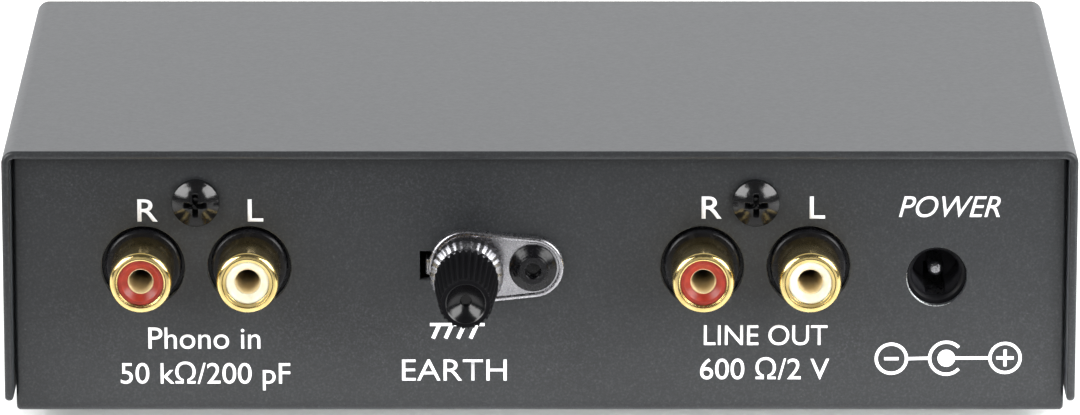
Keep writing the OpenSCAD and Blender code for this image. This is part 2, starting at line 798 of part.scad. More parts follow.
module dc_jack_housing() {
    block_h = dc_z + dc_block_w / 2 - board_top;
    color(black) in_frame() difference() {
        translate([dc_x - dc_block_w / 2, dc_front_y, board_top])
            cube([dc_block_w, dc_block_d, block_h]);
        outward(dc_x, dc_z, dc_front_y + dc_mouth_depth) rotate_extrude($fn = 64)
            polygon([[0, 0], [dc_mouth_r, 0], [dc_mouth_r, dc_mouth_depth - dc_chamfer],
                [dc_mouth_r + dc_chamfer, dc_mouth_depth],
                [dc_mouth_r + dc_chamfer, dc_mouth_depth + cut], [0, dc_mouth_depth + cut]]);
        outward(dc_x, dc_z, dc_front_y + dc_block_d + cut)
            cylinder(r = dc_tail_r + jack_fit, h = dc_block_d, $fn = 32);
        // Slot in the floor of the mouth for the side contact
        translate([dc_x - dc_leaf_w / 2 - 0.1, dc_front_y + 1.5, dc_z - dc_mouth_r - dc_floor])
            cube([dc_leaf_w + 0.2, dc_block_d, dc_mouth_r]);
    }
}

// Pin with a rounded tip; its thinner tail goes through the housing's back wall
module dc_jack_pin() {
    length = dc_front_y + dc_mouth_depth - dc_pin_y;
    tail_l = dc_block_d - dc_mouth_depth;
    tip = 0.6;
    color(tin) in_frame() outward(dc_x, dc_z, dc_front_y + dc_mouth_depth)
        rotate_extrude($fn = 64) {
            translate([0, -tail_l]) square([dc_tail_r, tail_l + 0.1]);
            square([dc_pin_r, length - tip]);
            square([dc_pin_r - tip, length]);
            intersection() {
                translate([dc_pin_r - tip, length - tip]) circle(tip, $fn = 48);
                square([dc_pin_r, length]);
            }
        }
}

// Leaf with a raised crown that presses on the plug's sleeve
module dc_jack_spring() {
    y0 = dc_front_y + 2;
    z0 = dc_z - dc_mouth_r - dc_floor;
    z1 = z0 + leaf_crown;
    y1 = y0 + leaf_rise;
    y2 = y1 + leaf_top;
    y3 = y2 + leaf_fall;
    y4 = y0 + dc_block_d - 2;
    color(tin) in_frame() translate([dc_x - dc_leaf_w / 2, 0, 0]) rotate([90, 0, 90])
        linear_extrude(dc_leaf_w) polygon([[y0, z0], [y1, z1], [y2, z1], [y3, z0], [y4, z0],
            [y4, z0 + dc_leaf_t], [y3 + leaf_bend, z0 + dc_leaf_t],
            [y2 + leaf_bend, z1 + dc_leaf_t], [y1 - leaf_bend, z1 + dc_leaf_t],
            [y0, z0 + dc_leaf_t]]);
}

// ---------------------------------------------------------------- ground terminal

// Two circles of different radius joined by their outer tangents
module pear_outline(r1, r2, pitch) {
    // The straight sides run a hair inside the tangents, so that they cross the circles
    lean = asin((r1 - r2) / pitch);
    a = r1 - 0.02;
    b = r2 - 0.02;
    circle(r1, $fn = 96);
    translate([pitch, 0]) circle(r2, $fn = 96);
    polygon([[a * sin(lean), a * cos(lean)], [pitch + b * sin(lean), b * cos(lean)],
        [pitch + b * sin(lean), -b * cos(lean)], [a * sin(lean), -a * cos(lean)]]);
}

module ground_plate() {
    reach = plate_big_r + tab_t / 2;
    tab_y = plate_t - 0.1;
    color(nickel) in_frame() difference() {
        union() {
            outward(stud_x, ground_z) linear_extrude(plate_t)
                pear_outline(plate_big_r, plate_small_r, rivet_pitch);
            // Tab bent back at the plate's edge, rounded outside the bend
            translate([stud_x - reach, 0, ground_z - tab_w / 2]) linear_extrude(tab_w)
                polygon([[tab_t, tab_l], [0, tab_l],
                    for (a = [180:15:270]) [tab_t * (1 + cos(a)), tab_t * (1 + sin(a)) - tab_y],
                    [reach / 2, -tab_y], [reach / 2, tab_y - plate_t], [tab_t, tab_y - plate_t]]);
        }
        outward(stud_x, ground_z, cut)
            cylinder(r = stud_r + jack_fit, h = plate_t + 2 * cut, $fn = 48);
        outward(rivet_x, ground_z, cut)
            cylinder(r = rivet_r + rivet_hole_gap, h = plate_t + 2 * cut, $fn = 48);
    }
}

module ground_stud() {
    back = sheet_t + lock_nut_h + 1;
    color(nickel) in_frame() outward(stud_x, ground_z, back) rotate_extrude($fn = 64)
        polygon([[0, 0], [stud_r, 0], [stud_r, back + stud_tip - 0.4],
            [stud_r - 0.4, back + stud_tip], [0, back + stud_tip]]);
}

module ground_lock_nut() {
    color(nickel) in_frame() outward(stud_x, ground_z, sheet_t + lock_nut_h) difference() {
        cylinder(d = lock_nut_w, h = lock_nut_h, $fn = 6);
        translate([0, 0, -cut])
            cylinder(r = stud_r + jack_fit, h = lock_nut_h + 2 * cut, $fn = 48);
    }
}

// Blind rivet: domed head with a raised ring round its hole, and a set bulb behind the panel
module ground_rivet() {
    back = sheet_t + rivet_bulb_l;
    color(black) in_frame() {
        outward(rivet_x, ground_z, -plate_t) difference() {
            union() {
                domed_head(rivet_head_r, rivet_head_h, rivet_head_h - 0.3);
                cylinder(r = rivet_ring_r, h = rivet_head_h + 0.1, $fn = 48);
            }
            translate([0, 0, 0.5]) cylinder(r = rivet_hole_r, h = rivet_head_h, $fn = 32);
        }
        outward(rivet_x, ground_z, back)
            cylinder(r = rivet_r, h = back + plate_t + 0.1, $fn = 48);
        outward(rivet_x, ground_z, back) cylinder(r = rivet_r + 0.7, h = back - sheet_t, $fn = 48);
    }
}

// Tinned wire from the plate's tab down to the board
module ground_link() {
    wire_r = 0.5;
    top = ground_z - tab_w / 2;
    color(tin) in_frame() translate([tab_x, tab_l - 1, board_top])
        cylinder(r = wire_r, h = top - board_top, $fn = 24);
}

// ---------------------------------------------------------------- thumb nut

// Ring of straight teeth: each has a narrow flat crest and a narrow flat root
function knurl_ring(r, depth) = [for (i = [0:knurl_teeth - 1]) for (k = [0:3])
    let (turn = 360 * (i + [0, 0.14, 0.5, 0.64][k]) / knurl_teeth,
        reach = k < 2 ? r : r - depth)
    [reach * cos(turn), reach * sin(turn)]];

// Ring that clamps the wire against the plate, with a serrated rim and cone
module clamp_collar() {
    pocket = flare_t + 2 * clamp_gap;
    cone_h = clamp_rim_r - clamp_cone_r;
    color(nickel) in_frame() outward(stud_x, ground_z, -clamp_y) difference() {
        union() {
            linear_extrude(clamp_rim_t) polygon(knurl_ring(clamp_rim_r, knurl_depth));
            translate([0, 0, clamp_rim_t])
                linear_extrude(cone_h, scale = clamp_cone_r / clamp_rim_r)
                    polygon(knurl_ring(clamp_rim_r, knurl_depth));
            cylinder(r = clamp_neck_r, h = clamp_t, $fn = 84);
        }
        translate([0, 0, -cut])
            cylinder(r = insert_r + run_gap, h = clamp_t + 2 * cut, $fn = 64);
        translate([0, 0, -cut]) cylinder(r = flare_r + run_gap, h = pocket + cut, $fn = 64);
    }
}

// Threaded brass tube moulded into the nut; its flared rim keeps the collar on
module nut_insert() {
    length = insert_front - insert_back;
    color(brass) in_frame() outward(stud_x, ground_z, -insert_back) difference() {
        union() {
            cylinder(r = insert_r, h = length, $fn = 64);
            cylinder(r = flare_r, h = flare_t, $fn = 64);
        }
        translate([0, 0, -cut]) cylinder(r = insert_bore_r, h = length + 2 * cut, $fn = 64);
    }
}

// Straight for a while, then tapering to the outer end; both ends of the teeth are chamfered
module nut_body() {
    taper_l = nut_l - nut_straight;
    out = 1;
    intersection() {
        union() {
            linear_extrude(nut_straight) polygon(knurl_ring(nut_r, knurl_depth));
            translate([0, 0, nut_straight]) linear_extrude(taper_l, scale = nut_tip_r / nut_r)
                polygon(knurl_ring(nut_r, knurl_depth));
        }
        rotate_extrude($fn = 90) polygon([[0, 0], [nut_r - nut_back_chamfer, 0],
            [nut_r + out, nut_back_chamfer + out],
            [nut_r + out, nut_l - nut_round - (nut_r + out - nut_tip_r)],
            [nut_tip_r - nut_round, nut_l], [0, nut_l]]);
    }
}

module thumb_nut() {
    color(black) in_frame() outward(stud_x, ground_z, -nut_y) difference() {
        nut_body();
        translate([0, 0, -cut])
            cylinder(r = insert_r + jack_fit / 2, h = insert_front - nut_y + cut, $fn = 64);
        translate([0, 0, nut_l - nut_dish_depth]) rotate_extrude($fn = 64)
            polygon([[0, -0.6], [nut_dish_floor_r, -0.6], [nut_dish_floor_r, 0],
                [nut_dish_r, nut_dish_depth], [nut_dish_r, nut_dish_depth + cut],
                [0, nut_dish_depth + cut]]);
    }
}

// ---------------------------------------------------------------- power light

module power_led() {
    flange_y0 = board_front - spacer_d / 2 + spacer_d;
    lens_l = led_tip - led_r - flange_y0;
    color("#3f9fe0") in_frame() translate([led_x, flange_y0, led_z]) rotate([-90, 0, 0])
        rotate_extrude($fn = 48) {
            square([led_r + 0.4, 1]);
            square([led_r, lens_l]);
            intersection() {
                translate([0, lens_l]) circle(led_r, $fn = 48);
                square([led_r, lens_l + led_r]);
            }
        }
}

module led_spacer() {
    color(black) in_frame()
        translate([led_x - spacer_w / 2, board_front - spacer_d / 2, board_top])
            cube([spacer_w, spacer_d, led_rise + led_r + 0.8]);
}

base_pan();
top_cover();
cover_screws();
foot(-1, false);  // foot_1
foot(1, false);  // foot_2
foot(-1, true);  // foot_3
foot(1, true);  // foot_4
board_standoffs();
circuit_board();
board_screws();
jack_housing(input_x);  // input_jack_housing
jack_housing(output_x);  // output_jack_housing
jack_screws();
jack_shell(jack_xs[0]);  // input_right_shell
jack_shell(jack_xs[1]);  // input_left_shell
jack_shell(jack_xs[2]);  // output_right_shell
jack_shell(jack_xs[3]);  // output_left_shell
jack_insulator(jack_xs[0], "#c23c2c");  // input_right_insulator
jack_insulator(jack_xs[1], "#f2ede2");  // input_left_insulator
jack_insulator(jack_xs[2], "#c23c2c");  // output_right_insulator
jack_insulator(jack_xs[3], "#f2ede2");  // output_left_insulator
jack_contact(jack_xs[0]);  // input_right_contact
jack_contact(jack_xs[1]);  // input_left_contact
jack_contact(jack_xs[2]);  // output_right_contact
jack_contact(jack_xs[3]);  // output_left_contact
dc_jack_housing();
dc_jack_pin();
dc_jack_spring();
ground_plate();
ground_stud();
ground_lock_nut();
ground_rivet();
ground_link();
clamp_collar();
nut_insert();
thumb_nut();
opamp_sockets();
op_amps();
voltage_regulator();
rectifier_diode();
supply_capacitors();
coupling_capacitors();
film_capacitors();
resistors();
power_led();
led_spacer();
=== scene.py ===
"""Looks of a phono preamp: a folded steel case with phono jacks, a ground terminal and a power jack.

Everything is in metres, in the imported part's own frame: the connector panel faces -Y, +Z is up
and the feet stand on z = 0. Profiles and signs are drawn in millimetres. The sections follow the
order in which the preamp is put together.
"""

import math

import bmesh
import bpy
import numpy as np
from mathutils import Matrix, Vector


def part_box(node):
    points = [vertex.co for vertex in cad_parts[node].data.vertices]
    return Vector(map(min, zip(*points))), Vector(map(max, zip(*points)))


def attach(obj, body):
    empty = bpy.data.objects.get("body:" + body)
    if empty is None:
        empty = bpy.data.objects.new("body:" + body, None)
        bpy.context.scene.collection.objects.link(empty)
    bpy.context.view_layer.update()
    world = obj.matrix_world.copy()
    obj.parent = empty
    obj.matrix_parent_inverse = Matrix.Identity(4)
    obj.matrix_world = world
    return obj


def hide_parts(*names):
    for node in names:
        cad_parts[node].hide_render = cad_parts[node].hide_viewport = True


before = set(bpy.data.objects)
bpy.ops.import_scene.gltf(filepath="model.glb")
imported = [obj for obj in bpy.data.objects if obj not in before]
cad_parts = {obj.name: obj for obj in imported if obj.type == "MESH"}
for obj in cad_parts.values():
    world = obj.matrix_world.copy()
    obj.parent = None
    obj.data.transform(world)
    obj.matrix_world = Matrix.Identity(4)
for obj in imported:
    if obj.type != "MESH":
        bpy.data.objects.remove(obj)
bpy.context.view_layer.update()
mm = 0.001


# ---------------------------------------------------------------- Camera
# A long lens a metre in front of the connector panel, looking 15 degrees down on it, so that
# the cover's top shows above the panel as a low trapezoid.

look_down = 15
lens = bpy.data.cameras.new("panel_camera")
lens.sensor_width = 36
lens.lens = 279.8
camera = bpy.data.objects.new("panel_camera", lens)
camera.location = (0.00002, -1.09777, 0.31574)
camera.rotation_euler = (math.radians(90 - look_down), 0, 0)
bpy.context.scene.collection.objects.link(camera)
bpy.context.scene.camera = camera


# ---------------------------------------------------------------- Studio
# A pale paper floor, a white room, and two soft lamps in front with a dark gap between them that
# shows in everything round and glossy. The other lamps, overhead, behind, in the middle and low
# at the panel, only fill in, and nothing glossy shows them.

def srgb(code):
    """Linear colour of a six-figure code: each share c becomes ((c + 0.055) / 1.055) to the 2.4."""
    share = np.array([int(code[i:i + 2], 16) for i in (0, 2, 4)]) / 255
    return tuple(np.where(share <= 0.04045, share / 12.92, ((share + 0.055) / 1.055) ** 2.4))


def finish(name, code, roughness, metallic=0.0, **plain):
    """A principled material whose plain values are set on its own sockets."""
    material = bpy.data.materials.new(name)
    material.use_nodes = True
    sockets = material.node_tree.nodes["Principled BSDF"].inputs
    sockets["Base Color"].default_value = (*srgb(code), 1)
    sockets["Roughness"].default_value = roughness
    sockets["Metallic"].default_value = metallic
    for socket, value in plain.items():
        sockets[socket.replace("_", " ")].default_value = value
    return material


def add_node(material, kind, settings=None, **values):
    """A new node in a material or a world, its settings made and its inputs set or linked."""
    node = material.node_tree.nodes.new("ShaderNode" + kind)
    for name, value in (settings or {}).items():
        setattr(node, name, value)
    for name, value in values.items():
        socket = node.inputs[name.replace("_", " ")]
        if isinstance(value, bpy.types.NodeSocket):
            material.node_tree.links.new(value, socket)
        else:
            socket.default_value = value
    return node


def join(material, value, socket):
    """Links a value to an input of the material's principled shader."""
    shader = material.node_tree.nodes["Principled BSDF"]
    material.node_tree.links.new(value, shader.inputs[socket])


def coordinate(material, axis, space="Object"):
    """A point's place along one axis, in metres, or one part of the way its surface faces."""
    place = add_node(material, "TexCoord").outputs[space]
    return add_node(material, "SeparateXYZ", Vector=place).outputs[axis]


def lumps(material, size, detail=2.0, stretch=(1, 1, 1)):
    """Soft noise from 0 to 1 over Object coordinates, its lumps about `size` metres wide."""
    place = add_node(material, "TexCoord").outputs["Object"]
    place = add_node(material, "Mapping", Vector=place, Scale=stretch).outputs["Vector"]
    return add_node(material, "TexNoise", Vector=place, Scale=1 / size, Detail=detail).outputs["Fac"]


def spread(material, value, low, high, at=(0.3, 0.7)):
    """The value between the two stops of `at`, drawn out to run from low to high."""
    node = add_node(material, "MapRange", Value=value)
    for socket, number in zip(("From Min", "From Max", "To Min", "To Max"), (*at, low, high)):
        node.inputs[socket].default_value = number
    return node.outputs["Result"]


def combine(material, operation, first, second):
    """Two values as one: their sum, their product or the larger one, by the Math node's name."""
    node = add_node(material, "Math", {"operation": operation})
    for value, socket in zip((first, second), node.inputs):
        material.node_tree.links.new(value, socket)
    return node.outputs["Value"]


def relief(material, *layers):
    """Bumps the surface by (value, height in metres) layers, one on the other."""
    normal = None
    for value, height in layers:
        bump = add_node(material, "Bump", Height=value, Distance=height)
        if normal is not None:
            material.node_tree.links.new(normal, bump.inputs["Normal"])
        normal = bump.outputs["Normal"]
    join(material, normal, "Normal")


def show(name, mesh, material, body=None, replaces=()):
    """Puts a mesh in the scene with its material, riding on a body and standing for its nodes."""
    piece = bpy.data.objects.new(name, mesh)
    mesh.materials.clear()
    mesh.materials.append(material)
    bpy.context.scene.collection.objects.link(piece)
    if body:
        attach(piece, body)
        if replaces:
            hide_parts(*replaces)
    return piece


floor_half = 3.0
floor_paper = finish("floor_paper", "ececeb", 0.9, Specular_IOR_Level=0.0, Emission_Color=(1, 1, 1, 1))
relief(floor_paper, (lumps(floor_paper, 0.4 * mm, detail=4), 0.02 * mm))
floor_ray = add_node(floor_paper, "LightPath").outputs
floor_y = coordinate(floor_paper, "Y")
# The light that the floor throws back fades in front, as if a dark cloth lay there. Shiny things
# see the floor bright below the panel and dim farther out, and the camera sees it pale all over.
bounce = spread(floor_paper, floor_y, 0.15, 0.42, at=(-0.12, -0.06))
near_by = spread(floor_paper, floor_y, 0.0, 0.8, at=(-0.2, -0.045))
to_shiny = combine(floor_paper, "MULTIPLY", near_by, floor_ray["Is Glossy Ray"])
to_camera = spread(floor_paper, floor_ray["Is Camera Ray"], 0.0, 0.84, at=(0.0, 1.0))
tone = combine(floor_paper, "MAXIMUM", bounce, to_camera)
join(floor_paper, combine(floor_paper, "MAXIMUM", tone, to_shiny), "Base Color")
# Far out, where the lamps hardly reach it, the paper itself is as bright to the camera
far_out = add_node(floor_paper, "VectorMath", {"operation": "LENGTH"},
                   Vector=add_node(floor_paper, "TexCoord").outputs["Object"]).outputs["Value"]
glow = spread(floor_paper, far_out, 0.25, 1.0, at=(0.4, 1.2))
glow = combine(floor_paper, "MULTIPLY", glow, floor_ray["Is Camera Ray"])
join(floor_paper, glow, "Emission Strength")
corners = [(x * floor_half, y * floor_half, 0) for x, y in ((-1, -1), (1, -1), (1, 1), (-1, 1))]
floor_mesh = bpy.data.meshes.new("studio_floor")
floor_mesh.from_pydata(corners, [], [(0, 1, 2, 3)])
show("studio_floor", floor_mesh, floor_paper)

room_light = 0.16
room = bpy.data.worlds.new("white_room")
bpy.context.scene.world = room
room.use_nodes = True
room_ray = add_node(room, "LightPath").outputs
# Behind the preamp the room is white, and in front of it dim, as shiny things see it
depth = spread(room, coordinate(room, "Y", "Generated"), 0.05, 1.36, at=(-0.1, 0.6))
strength = room_light
for kind, brightness in (("Glossy", depth), ("Transmission", 1.0), ("Camera", 1.0)):
    choice = add_node(room, "Mix", Factor=room_ray[f"Is {kind} Ray"], A=strength, B=brightness)
    strength = choice.outputs["Result"]
background = room.node_tree.nodes["Background"].inputs
room.node_tree.links.new(strength, background["Strength"])
background["Color"].default_value = (1, 1, 1, 1)


def soft_lamp(name, place, aim, size, watts, shows=True):
    """A rectangular lamp at a place, shining towards a point; shiny things see it where it shows."""
    lamp = bpy.data.lights.new(name, "AREA")
    lamp.shape = "RECTANGLE"
    lamp.size, lamp.size_y = size
    lamp.energy = watts
    holder = bpy.data.objects.new(name, lamp)
    holder.location = place
    holder.rotation_euler = (Vector(place) - Vector(aim)).to_track_quat("Z", "Y").to_euler()
    holder.visible_glossy = shows
    holder.visible_camera = False
    bpy.context.scene.collection.objects.link(holder)


for side in (-1, 1):
    soft_lamp(f"front_lamp_{side + 1}", (side * 0.70, -0.50, 0.50), (0, 0, 0), (0.75, 0.55), 11)
soft_lamp("overhead_lamp", (0, 0.2, 0.98), (0, 0, 0), (1.2, 0.5), 8, shows=False)
soft_lamp("back_fill", (0, 0.9, 0.5), (0, 0, 0.02), (0.8, 0.3), 5, shows=False)
soft_lamp("centre_fill", (0, -0.9, 0.5), (0, 0, 0.02), (0.4, 0.3), 1.0, shows=False)
# Low fills beside the panel, the right one stronger, and a strip of light along the table below
for side, watts in ((-1, 0.1), (1, 0.34)):
    soft_lamp(f"low_fill_{side + 1}", (side * 0.17, -0.15, 0.035), (side * 0.06, 0, 0.03),
              (0.08, 0.05), watts, shows=False)
soft_lamp("table_strip", (0.01, -0.045, 0.001), (0.01, -0.0317, 0.02), (0.15, 0.008), 0.055,
          shows=False)

bpy.context.scene.view_settings.view_transform = "Standard"


# ---------------------------------------------------------------- Base pan
# The lower half of the case: one folded steel sheet with the floor, the connector panel, the
# front panel and two low side flanges, powder-coated dark grey after it was punched and bent.

def shade(material, value, *stops):
    """Colour of the surface from (place, colour code) stops along a value from 0 to 1."""
    ramp = add_node(material, "ValToRGB", Fac=value)
    while len(ramp.color_ramp.elements) < len(stops):
        ramp.color_ramp.elements.new(0.5)
    for element, (place, code) in zip(ramp.color_ramp.elements, stops):
        element.position = place
        element.color = (*srgb(code), 1)
    join(material, ramp.outputs["Color"], "Base Color")


def eased_copy(node, name, material, radius, angle=28, segments=3, rims="", inner=0.3,
               hidden=(0, 0)):
    """The node's mesh as one closed skin, with every edge sharper than the angle rounded. Where
    rims names axes, edges away from the node's ends along them take only the inner share. Edges
    whose y lies wholly in the hidden span, out of sight in the case, stay as they are."""
    end_zone = 2.4 * mm
    axes = ["xyz".index(axis) for axis in rims]
    skin = bmesh.new()
    skin.from_mesh(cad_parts[node].data)
    bmesh.ops.remove_doubles(skin, verts=skin.verts, dist=1e-6)
    bmesh.ops.dissolve_limit(skin, angle_limit=math.radians(0.4), verts=skin.verts, edges=skin.edges)
    low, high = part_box(node)
    weight = skin.edges.layers.float.new("bevel_weight_edge")
    for edge in skin.edges:
        out_of_sight = all(hidden[0] < vertex.co.y < hidden[1] for vertex in edge.verts)
        if edge.is_manifold and not out_of_sight and edge.calc_face_angle() > math.radians(angle):
            spot = (edge.verts[0].co + edge.verts[1].co) / 2
            near = not axes or any(min(spot[i] - low[i], high[i] - spot[i]) < end_zone for i in axes)
            edge[weight] = 1.0 if near else inner
    mesh = bpy.data.meshes.new(name)
    skin.to_mesh(mesh)
    skin.free()
    mesh.shade_smooth()
    piece = show(name, mesh, material, "case", [node])
    rounding = piece.modifiers.new("rounded_edges", "BEVEL")
    rounding.width = radius
    rounding.segments = segments
    rounding.limit_method = "WEIGHT"
    rounding.use_clamp_overlap = False
    even = piece.modifiers.new("flat_faces_stay_flat", "WEIGHTED_NORMAL")
    even.mode = "FACE_AREA"
    even.weight = 100


case_paint = finish("case_paint", "36383b", 0.42, Specular_IOR_Level=0.5, Sheen_Weight=0.12,
                    Sheen_Roughness=0.35, Sheen_Tint=(0.88, 0.93, 1.0, 1.0))
fine = lumps(case_paint, 0.3 * mm, detail=4)
coarse = lumps(case_paint, 0.7 * mm, detail=2)
shade(case_paint, fine, (0.3, "101113"), (0.52, "191b1d"), (0.7, "27292b"), (0.8, "3d3f42"))
join(case_paint, spread(case_paint, coarse, 0.4, 0.44), "Roughness")
relief(case_paint, (coarse, 0.003 * mm), (fine, 0.004 * mm))
pan_low, pan_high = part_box("base_pan")
eased_copy("base_pan", "base_pan_sheet", case_paint, 0.45 * mm, segments=5,
           rims="xz", inner=0.25, hidden=(pan_low.y + 1.7 * mm, pan_high.y - 1.5 * mm))


# ---------------------------------------------------------------- Rubber feet
# Four soft black rubber pads, moulded with a slight taper and a rounded lower edge, and stuck
# under the base.

def eased(corners, steps=6):
    """Profile through (radius, height, rounding) corners. Each rounded corner becomes the arc that
    touches both of its sides, with one more point on each side to hold the flat stretches flat."""
    points = []
    for i, (r, h, rounding) in enumerate(corners):
        here = np.array([r, h], float)
        if rounding == 0:
            points.append(here)
            continue
        before = np.array(corners[i - 1][:2], float) - here
        after = np.array(corners[(i + 1) % len(corners)][:2], float) - here
        before /= np.linalg.norm(before)
        after /= np.linalg.norm(after)
        half = math.acos(np.clip(before @ after, -1, 1)) / 2
        run = rounding / math.tan(half)
        centre = here + (before + after) / np.linalg.norm(before + after) * rounding / math.sin(half)
        start, end = here + before * run - centre, here + after * run - centre
        share = np.linspace(0, 1, steps + 1)[:, None]
        sweep = math.pi - 2 * half
        bend = (np.sin((1 - share) * sweep) * start + np.sin(share * sweep) * end) / math.sin(sweep)
        hold = 0.12 * rounding
        points += [here + before * (run + hold), centre + bend, here + after * (run + hold)]
    return np.vstack(points)


def grid_mesh(name, points, wrap_rows=False):
    """Mesh of the quads between neighbours in a [rows, columns, 3] grid of points, its columns
    closed into rings and its rows too where asked, doubles merged and normals turned outwards."""
    rows, columns = points.shape[:2]
    numbers = np.arange(rows * columns).reshape(rows, columns)
    down = np.roll(numbers, -1, axis=0) if wrap_rows else numbers[1:]
    numbers = numbers if wrap_rows else numbers[:-1]
    quads = np.stack([numbers, np.roll(numbers, -1, 1), np.roll(down, -1, 1), down], axis=2)
    mesh = bpy.data.meshes.new(name)
    mesh.from_pydata(points.reshape(-1, 3).tolist(), [], quads.reshape(-1, 4).tolist())
    skin = bmesh.new()
    skin.from_mesh(mesh)
    bmesh.ops.remove_doubles(skin, verts=skin.verts, dist=1e-7)
    bmesh.ops.recalc_face_normals(skin, faces=skin.faces)
    skin.to_mesh(mesh)
    skin.free()
    mesh.shade_smooth()
    return mesh


def stood(points, foot, axis):
    """Points drawn round the z axis, leant over onto another axis and moved to their foot."""
    lean = np.array(Vector((0, 0, 1)).rotation_difference(Vector(axis)).to_matrix())
    return points @ lean.T + np.array(foot)


def turned(name, profile, foot, axis, columns=128):
    """A profile of (radius, height) in millimetres carried round an axis: x and y across it are
    radius times the cosine and sine of the turn, and the height runs along it from its foot."""
    turn = np.linspace(0, 2 * math.pi, columns, endpoint=False)
    r, h = profile[:, 0, None] * mm, profile[:, 1, None] * mm
    local = np.stack([r * np.cos(turn), r * np.sin(turn), h + 0 * turn], axis=2)
    return grid_mesh(name, stood(local, foot, axis), wrap_rows=profile[0, 0] > 0)


def half_size(node, axis="x"):
    """Half of a node's size along an axis, in millimetres."""
    low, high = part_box(node)
    return (getattr(high, axis) - getattr(low, axis)) / 2 / mm


def dapple(material, noise, dark, light, height, rough=None):
    """Lets one noise run the colour between two stops, the relief and, if given, the roughness."""
    shade(material, noise, dark, light)
    relief(material, (noise, height))
    if rough:
        join(material, spread(material, noise, *rough), "Roughness")


foot_rubber = finish("foot_rubber", "1c1c1d", 0.72, Specular_IOR_Level=0.3)
dapple(foot_rubber, lumps(foot_rubber, 0.5 * mm, detail=3), (0.35, "171718"), (0.8, "2a2a2b"),
       0.02 * mm)
taper, lower_rounding, upper_rounding = 0.5, 0.35, 0.12
for number in range(1, 5):
    low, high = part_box(f"foot_{number}")
    radius, height = half_size(f"foot_{number}"), (high.z - low.z) / mm
    pad = eased([(0, 0, 0), (radius - taper, 0, lower_rounding), (radius, height, upper_rounding),
                 (0, height, 0)])
    at = ((low.x + high.x) / 2, (low.y + high.y) / 2, low.z)
    show(f"rubber_foot_{number}", turned(f"rubber_foot_{number}", pad, at, (0, 0, 1), columns=64),
         foot_rubber, "case", [f"foot_{number}"])


# ---------------------------------------------------------------- Board and its fixings
# Four hexagonal brass standoffs carry a green glass-fibre circuit board, held by tinned
# pan-head screws.

def dress(material, *nodes):
    """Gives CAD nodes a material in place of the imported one."""
    for node in nodes:
        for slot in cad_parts[node].material_slots:
            slot.material = material


brass = finish("brass", "c9a24a", 0.32, 1.0)
brass_haze = lumps(brass, 0.8 * mm, detail=4)
shade(brass, brass_haze, (0.3, "b98f3c"), (0.7, "d4ae58"))
join(brass, spread(brass, brass_haze, 0.24, 0.42), "Roughness")
dress(brass, "board_standoffs")

board_laminate = finish("board_laminate", "1f5a3a", 0.3, Specular_IOR_Level=0.5)
tracks = add_node(board_laminate, "TexBrick", {"offset": 0.37, "squash": 0.6, "squash_frequency": 3},
                  Vector=add_node(board_laminate, "TexCoord").outputs["Object"], Scale=60.0,
                  Color1=(*srgb("1d5436"), 1), Color2=(*srgb("236442"), 1),
                  Mortar=(*srgb("123c26"), 1), Mortar_Size=0.012)
join(board_laminate, tracks.outputs["Color"], "Base Color")
relief(board_laminate, (tracks.outputs["Fac"], -0.03 * mm),
       (lumps(board_laminate, 0.3 * mm), 0.004 * mm))
dress(board_laminate, "circuit_board")

tinned_metal = finish("tinned_metal", "c6c8ca", 0.28, 1.0)
tin_haze = lumps(tinned_metal, 0.3 * mm, detail=4)
join(tinned_metal, spread(tinned_metal, tin_haze, 0.18, 0.4), "Roughness")
relief(tinned_metal, (tin_haze, 0.002 * mm))
dress(tinned_metal, "board_screws")


# ---------------------------------------------------------------- Board parts
# Two op-amps in sockets, a regulator, a diode, capacitors and resistors, soldered to the board
# and out of sight once the cover is on.

component_black = finish("component_black", "202022", 0.5, Specular_IOR_Level=0.4)
moulding = lumps(component_black, 0.12 * mm, detail=3)
dapple(component_black, moulding, (0.3, "1a1a1c"), (0.75, "29292c"), 0.006 * mm)
dress(component_black, "opamp_sockets", "op_amps", "voltage_regulator", "rectifier_diode", "led_spacer")

capacitor_sleeve = finish("capacitor_sleeve", "1e2f57", 0.32, Specular_IOR_Level=0.5)
shrink = lumps(capacitor_sleeve, 2 * mm, detail=3, stretch=(1, 1, 0.3))
dapple(capacitor_sleeve, shrink, (0.3, "1a2a50"), (0.75, "263a69"), 0.02 * mm)
dress(capacitor_sleeve, "supply_capacitors", "coupling_capacitors")

film_capacitor_red = finish("film_capacitor_red", "a8321f", 0.35, Coat_Weight=0.3)
dip = lumps(film_capacitor_red, 1.2 * mm, detail=2)
dapple(film_capacitor_red, dip, (0.3, "96291a"), (0.75, "b53a26"), 0.05 * mm)
dress(film_capacitor_red, "film_capacitors")

resistor_blue = finish("resistor_blue", "7fb0cf", 0.35, Coat_Weight=0.2)
lacquer = lumps(resistor_blue, 0.5 * mm, detail=2)
dapple(resistor_blue, lacquer, (0.3, "6ea2c4"), (0.75, "8bbad6"), 0.01 * mm)
dress(resistor_blue, "resistors")


# ---------------------------------------------------------------- Jack pair housings
# Two blocks of black moulded plastic behind the panel. A collar round each jack comes out
# through the panel, just proud of it, with a thin chamfer that catches the light.

jack_plastic = finish("jack_plastic", "0f0f11", 0.26, Specular_IOR_Level=0.2)
dapple(jack_plastic, lumps(jack_plastic, 0.9 * mm, detail=3), (0.3, "0c0c0e"), (0.8, "131315"),
       0.006 * mm, rough=(0.2, 0.32))
for pair in ("input", "output"):
    eased_copy(f"{pair}_jack_housing", f"{pair}_jack_block", jack_plastic, 0.08 * mm)


# ---------------------------------------------------------------- Phono jacks
# Each jack is a turned brass shell, gold-plated, with a rolled rim and a thin inner lip. Inside
# sit a plastic insulator, red for the right channel and white for the left, and the sleeve of
# the contact.

out = (0, -1, 0)
panel_y = pan_low.y


def middle(node):
    """Middle of a node's box."""
    low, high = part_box(node)
    return (low + high) / 2


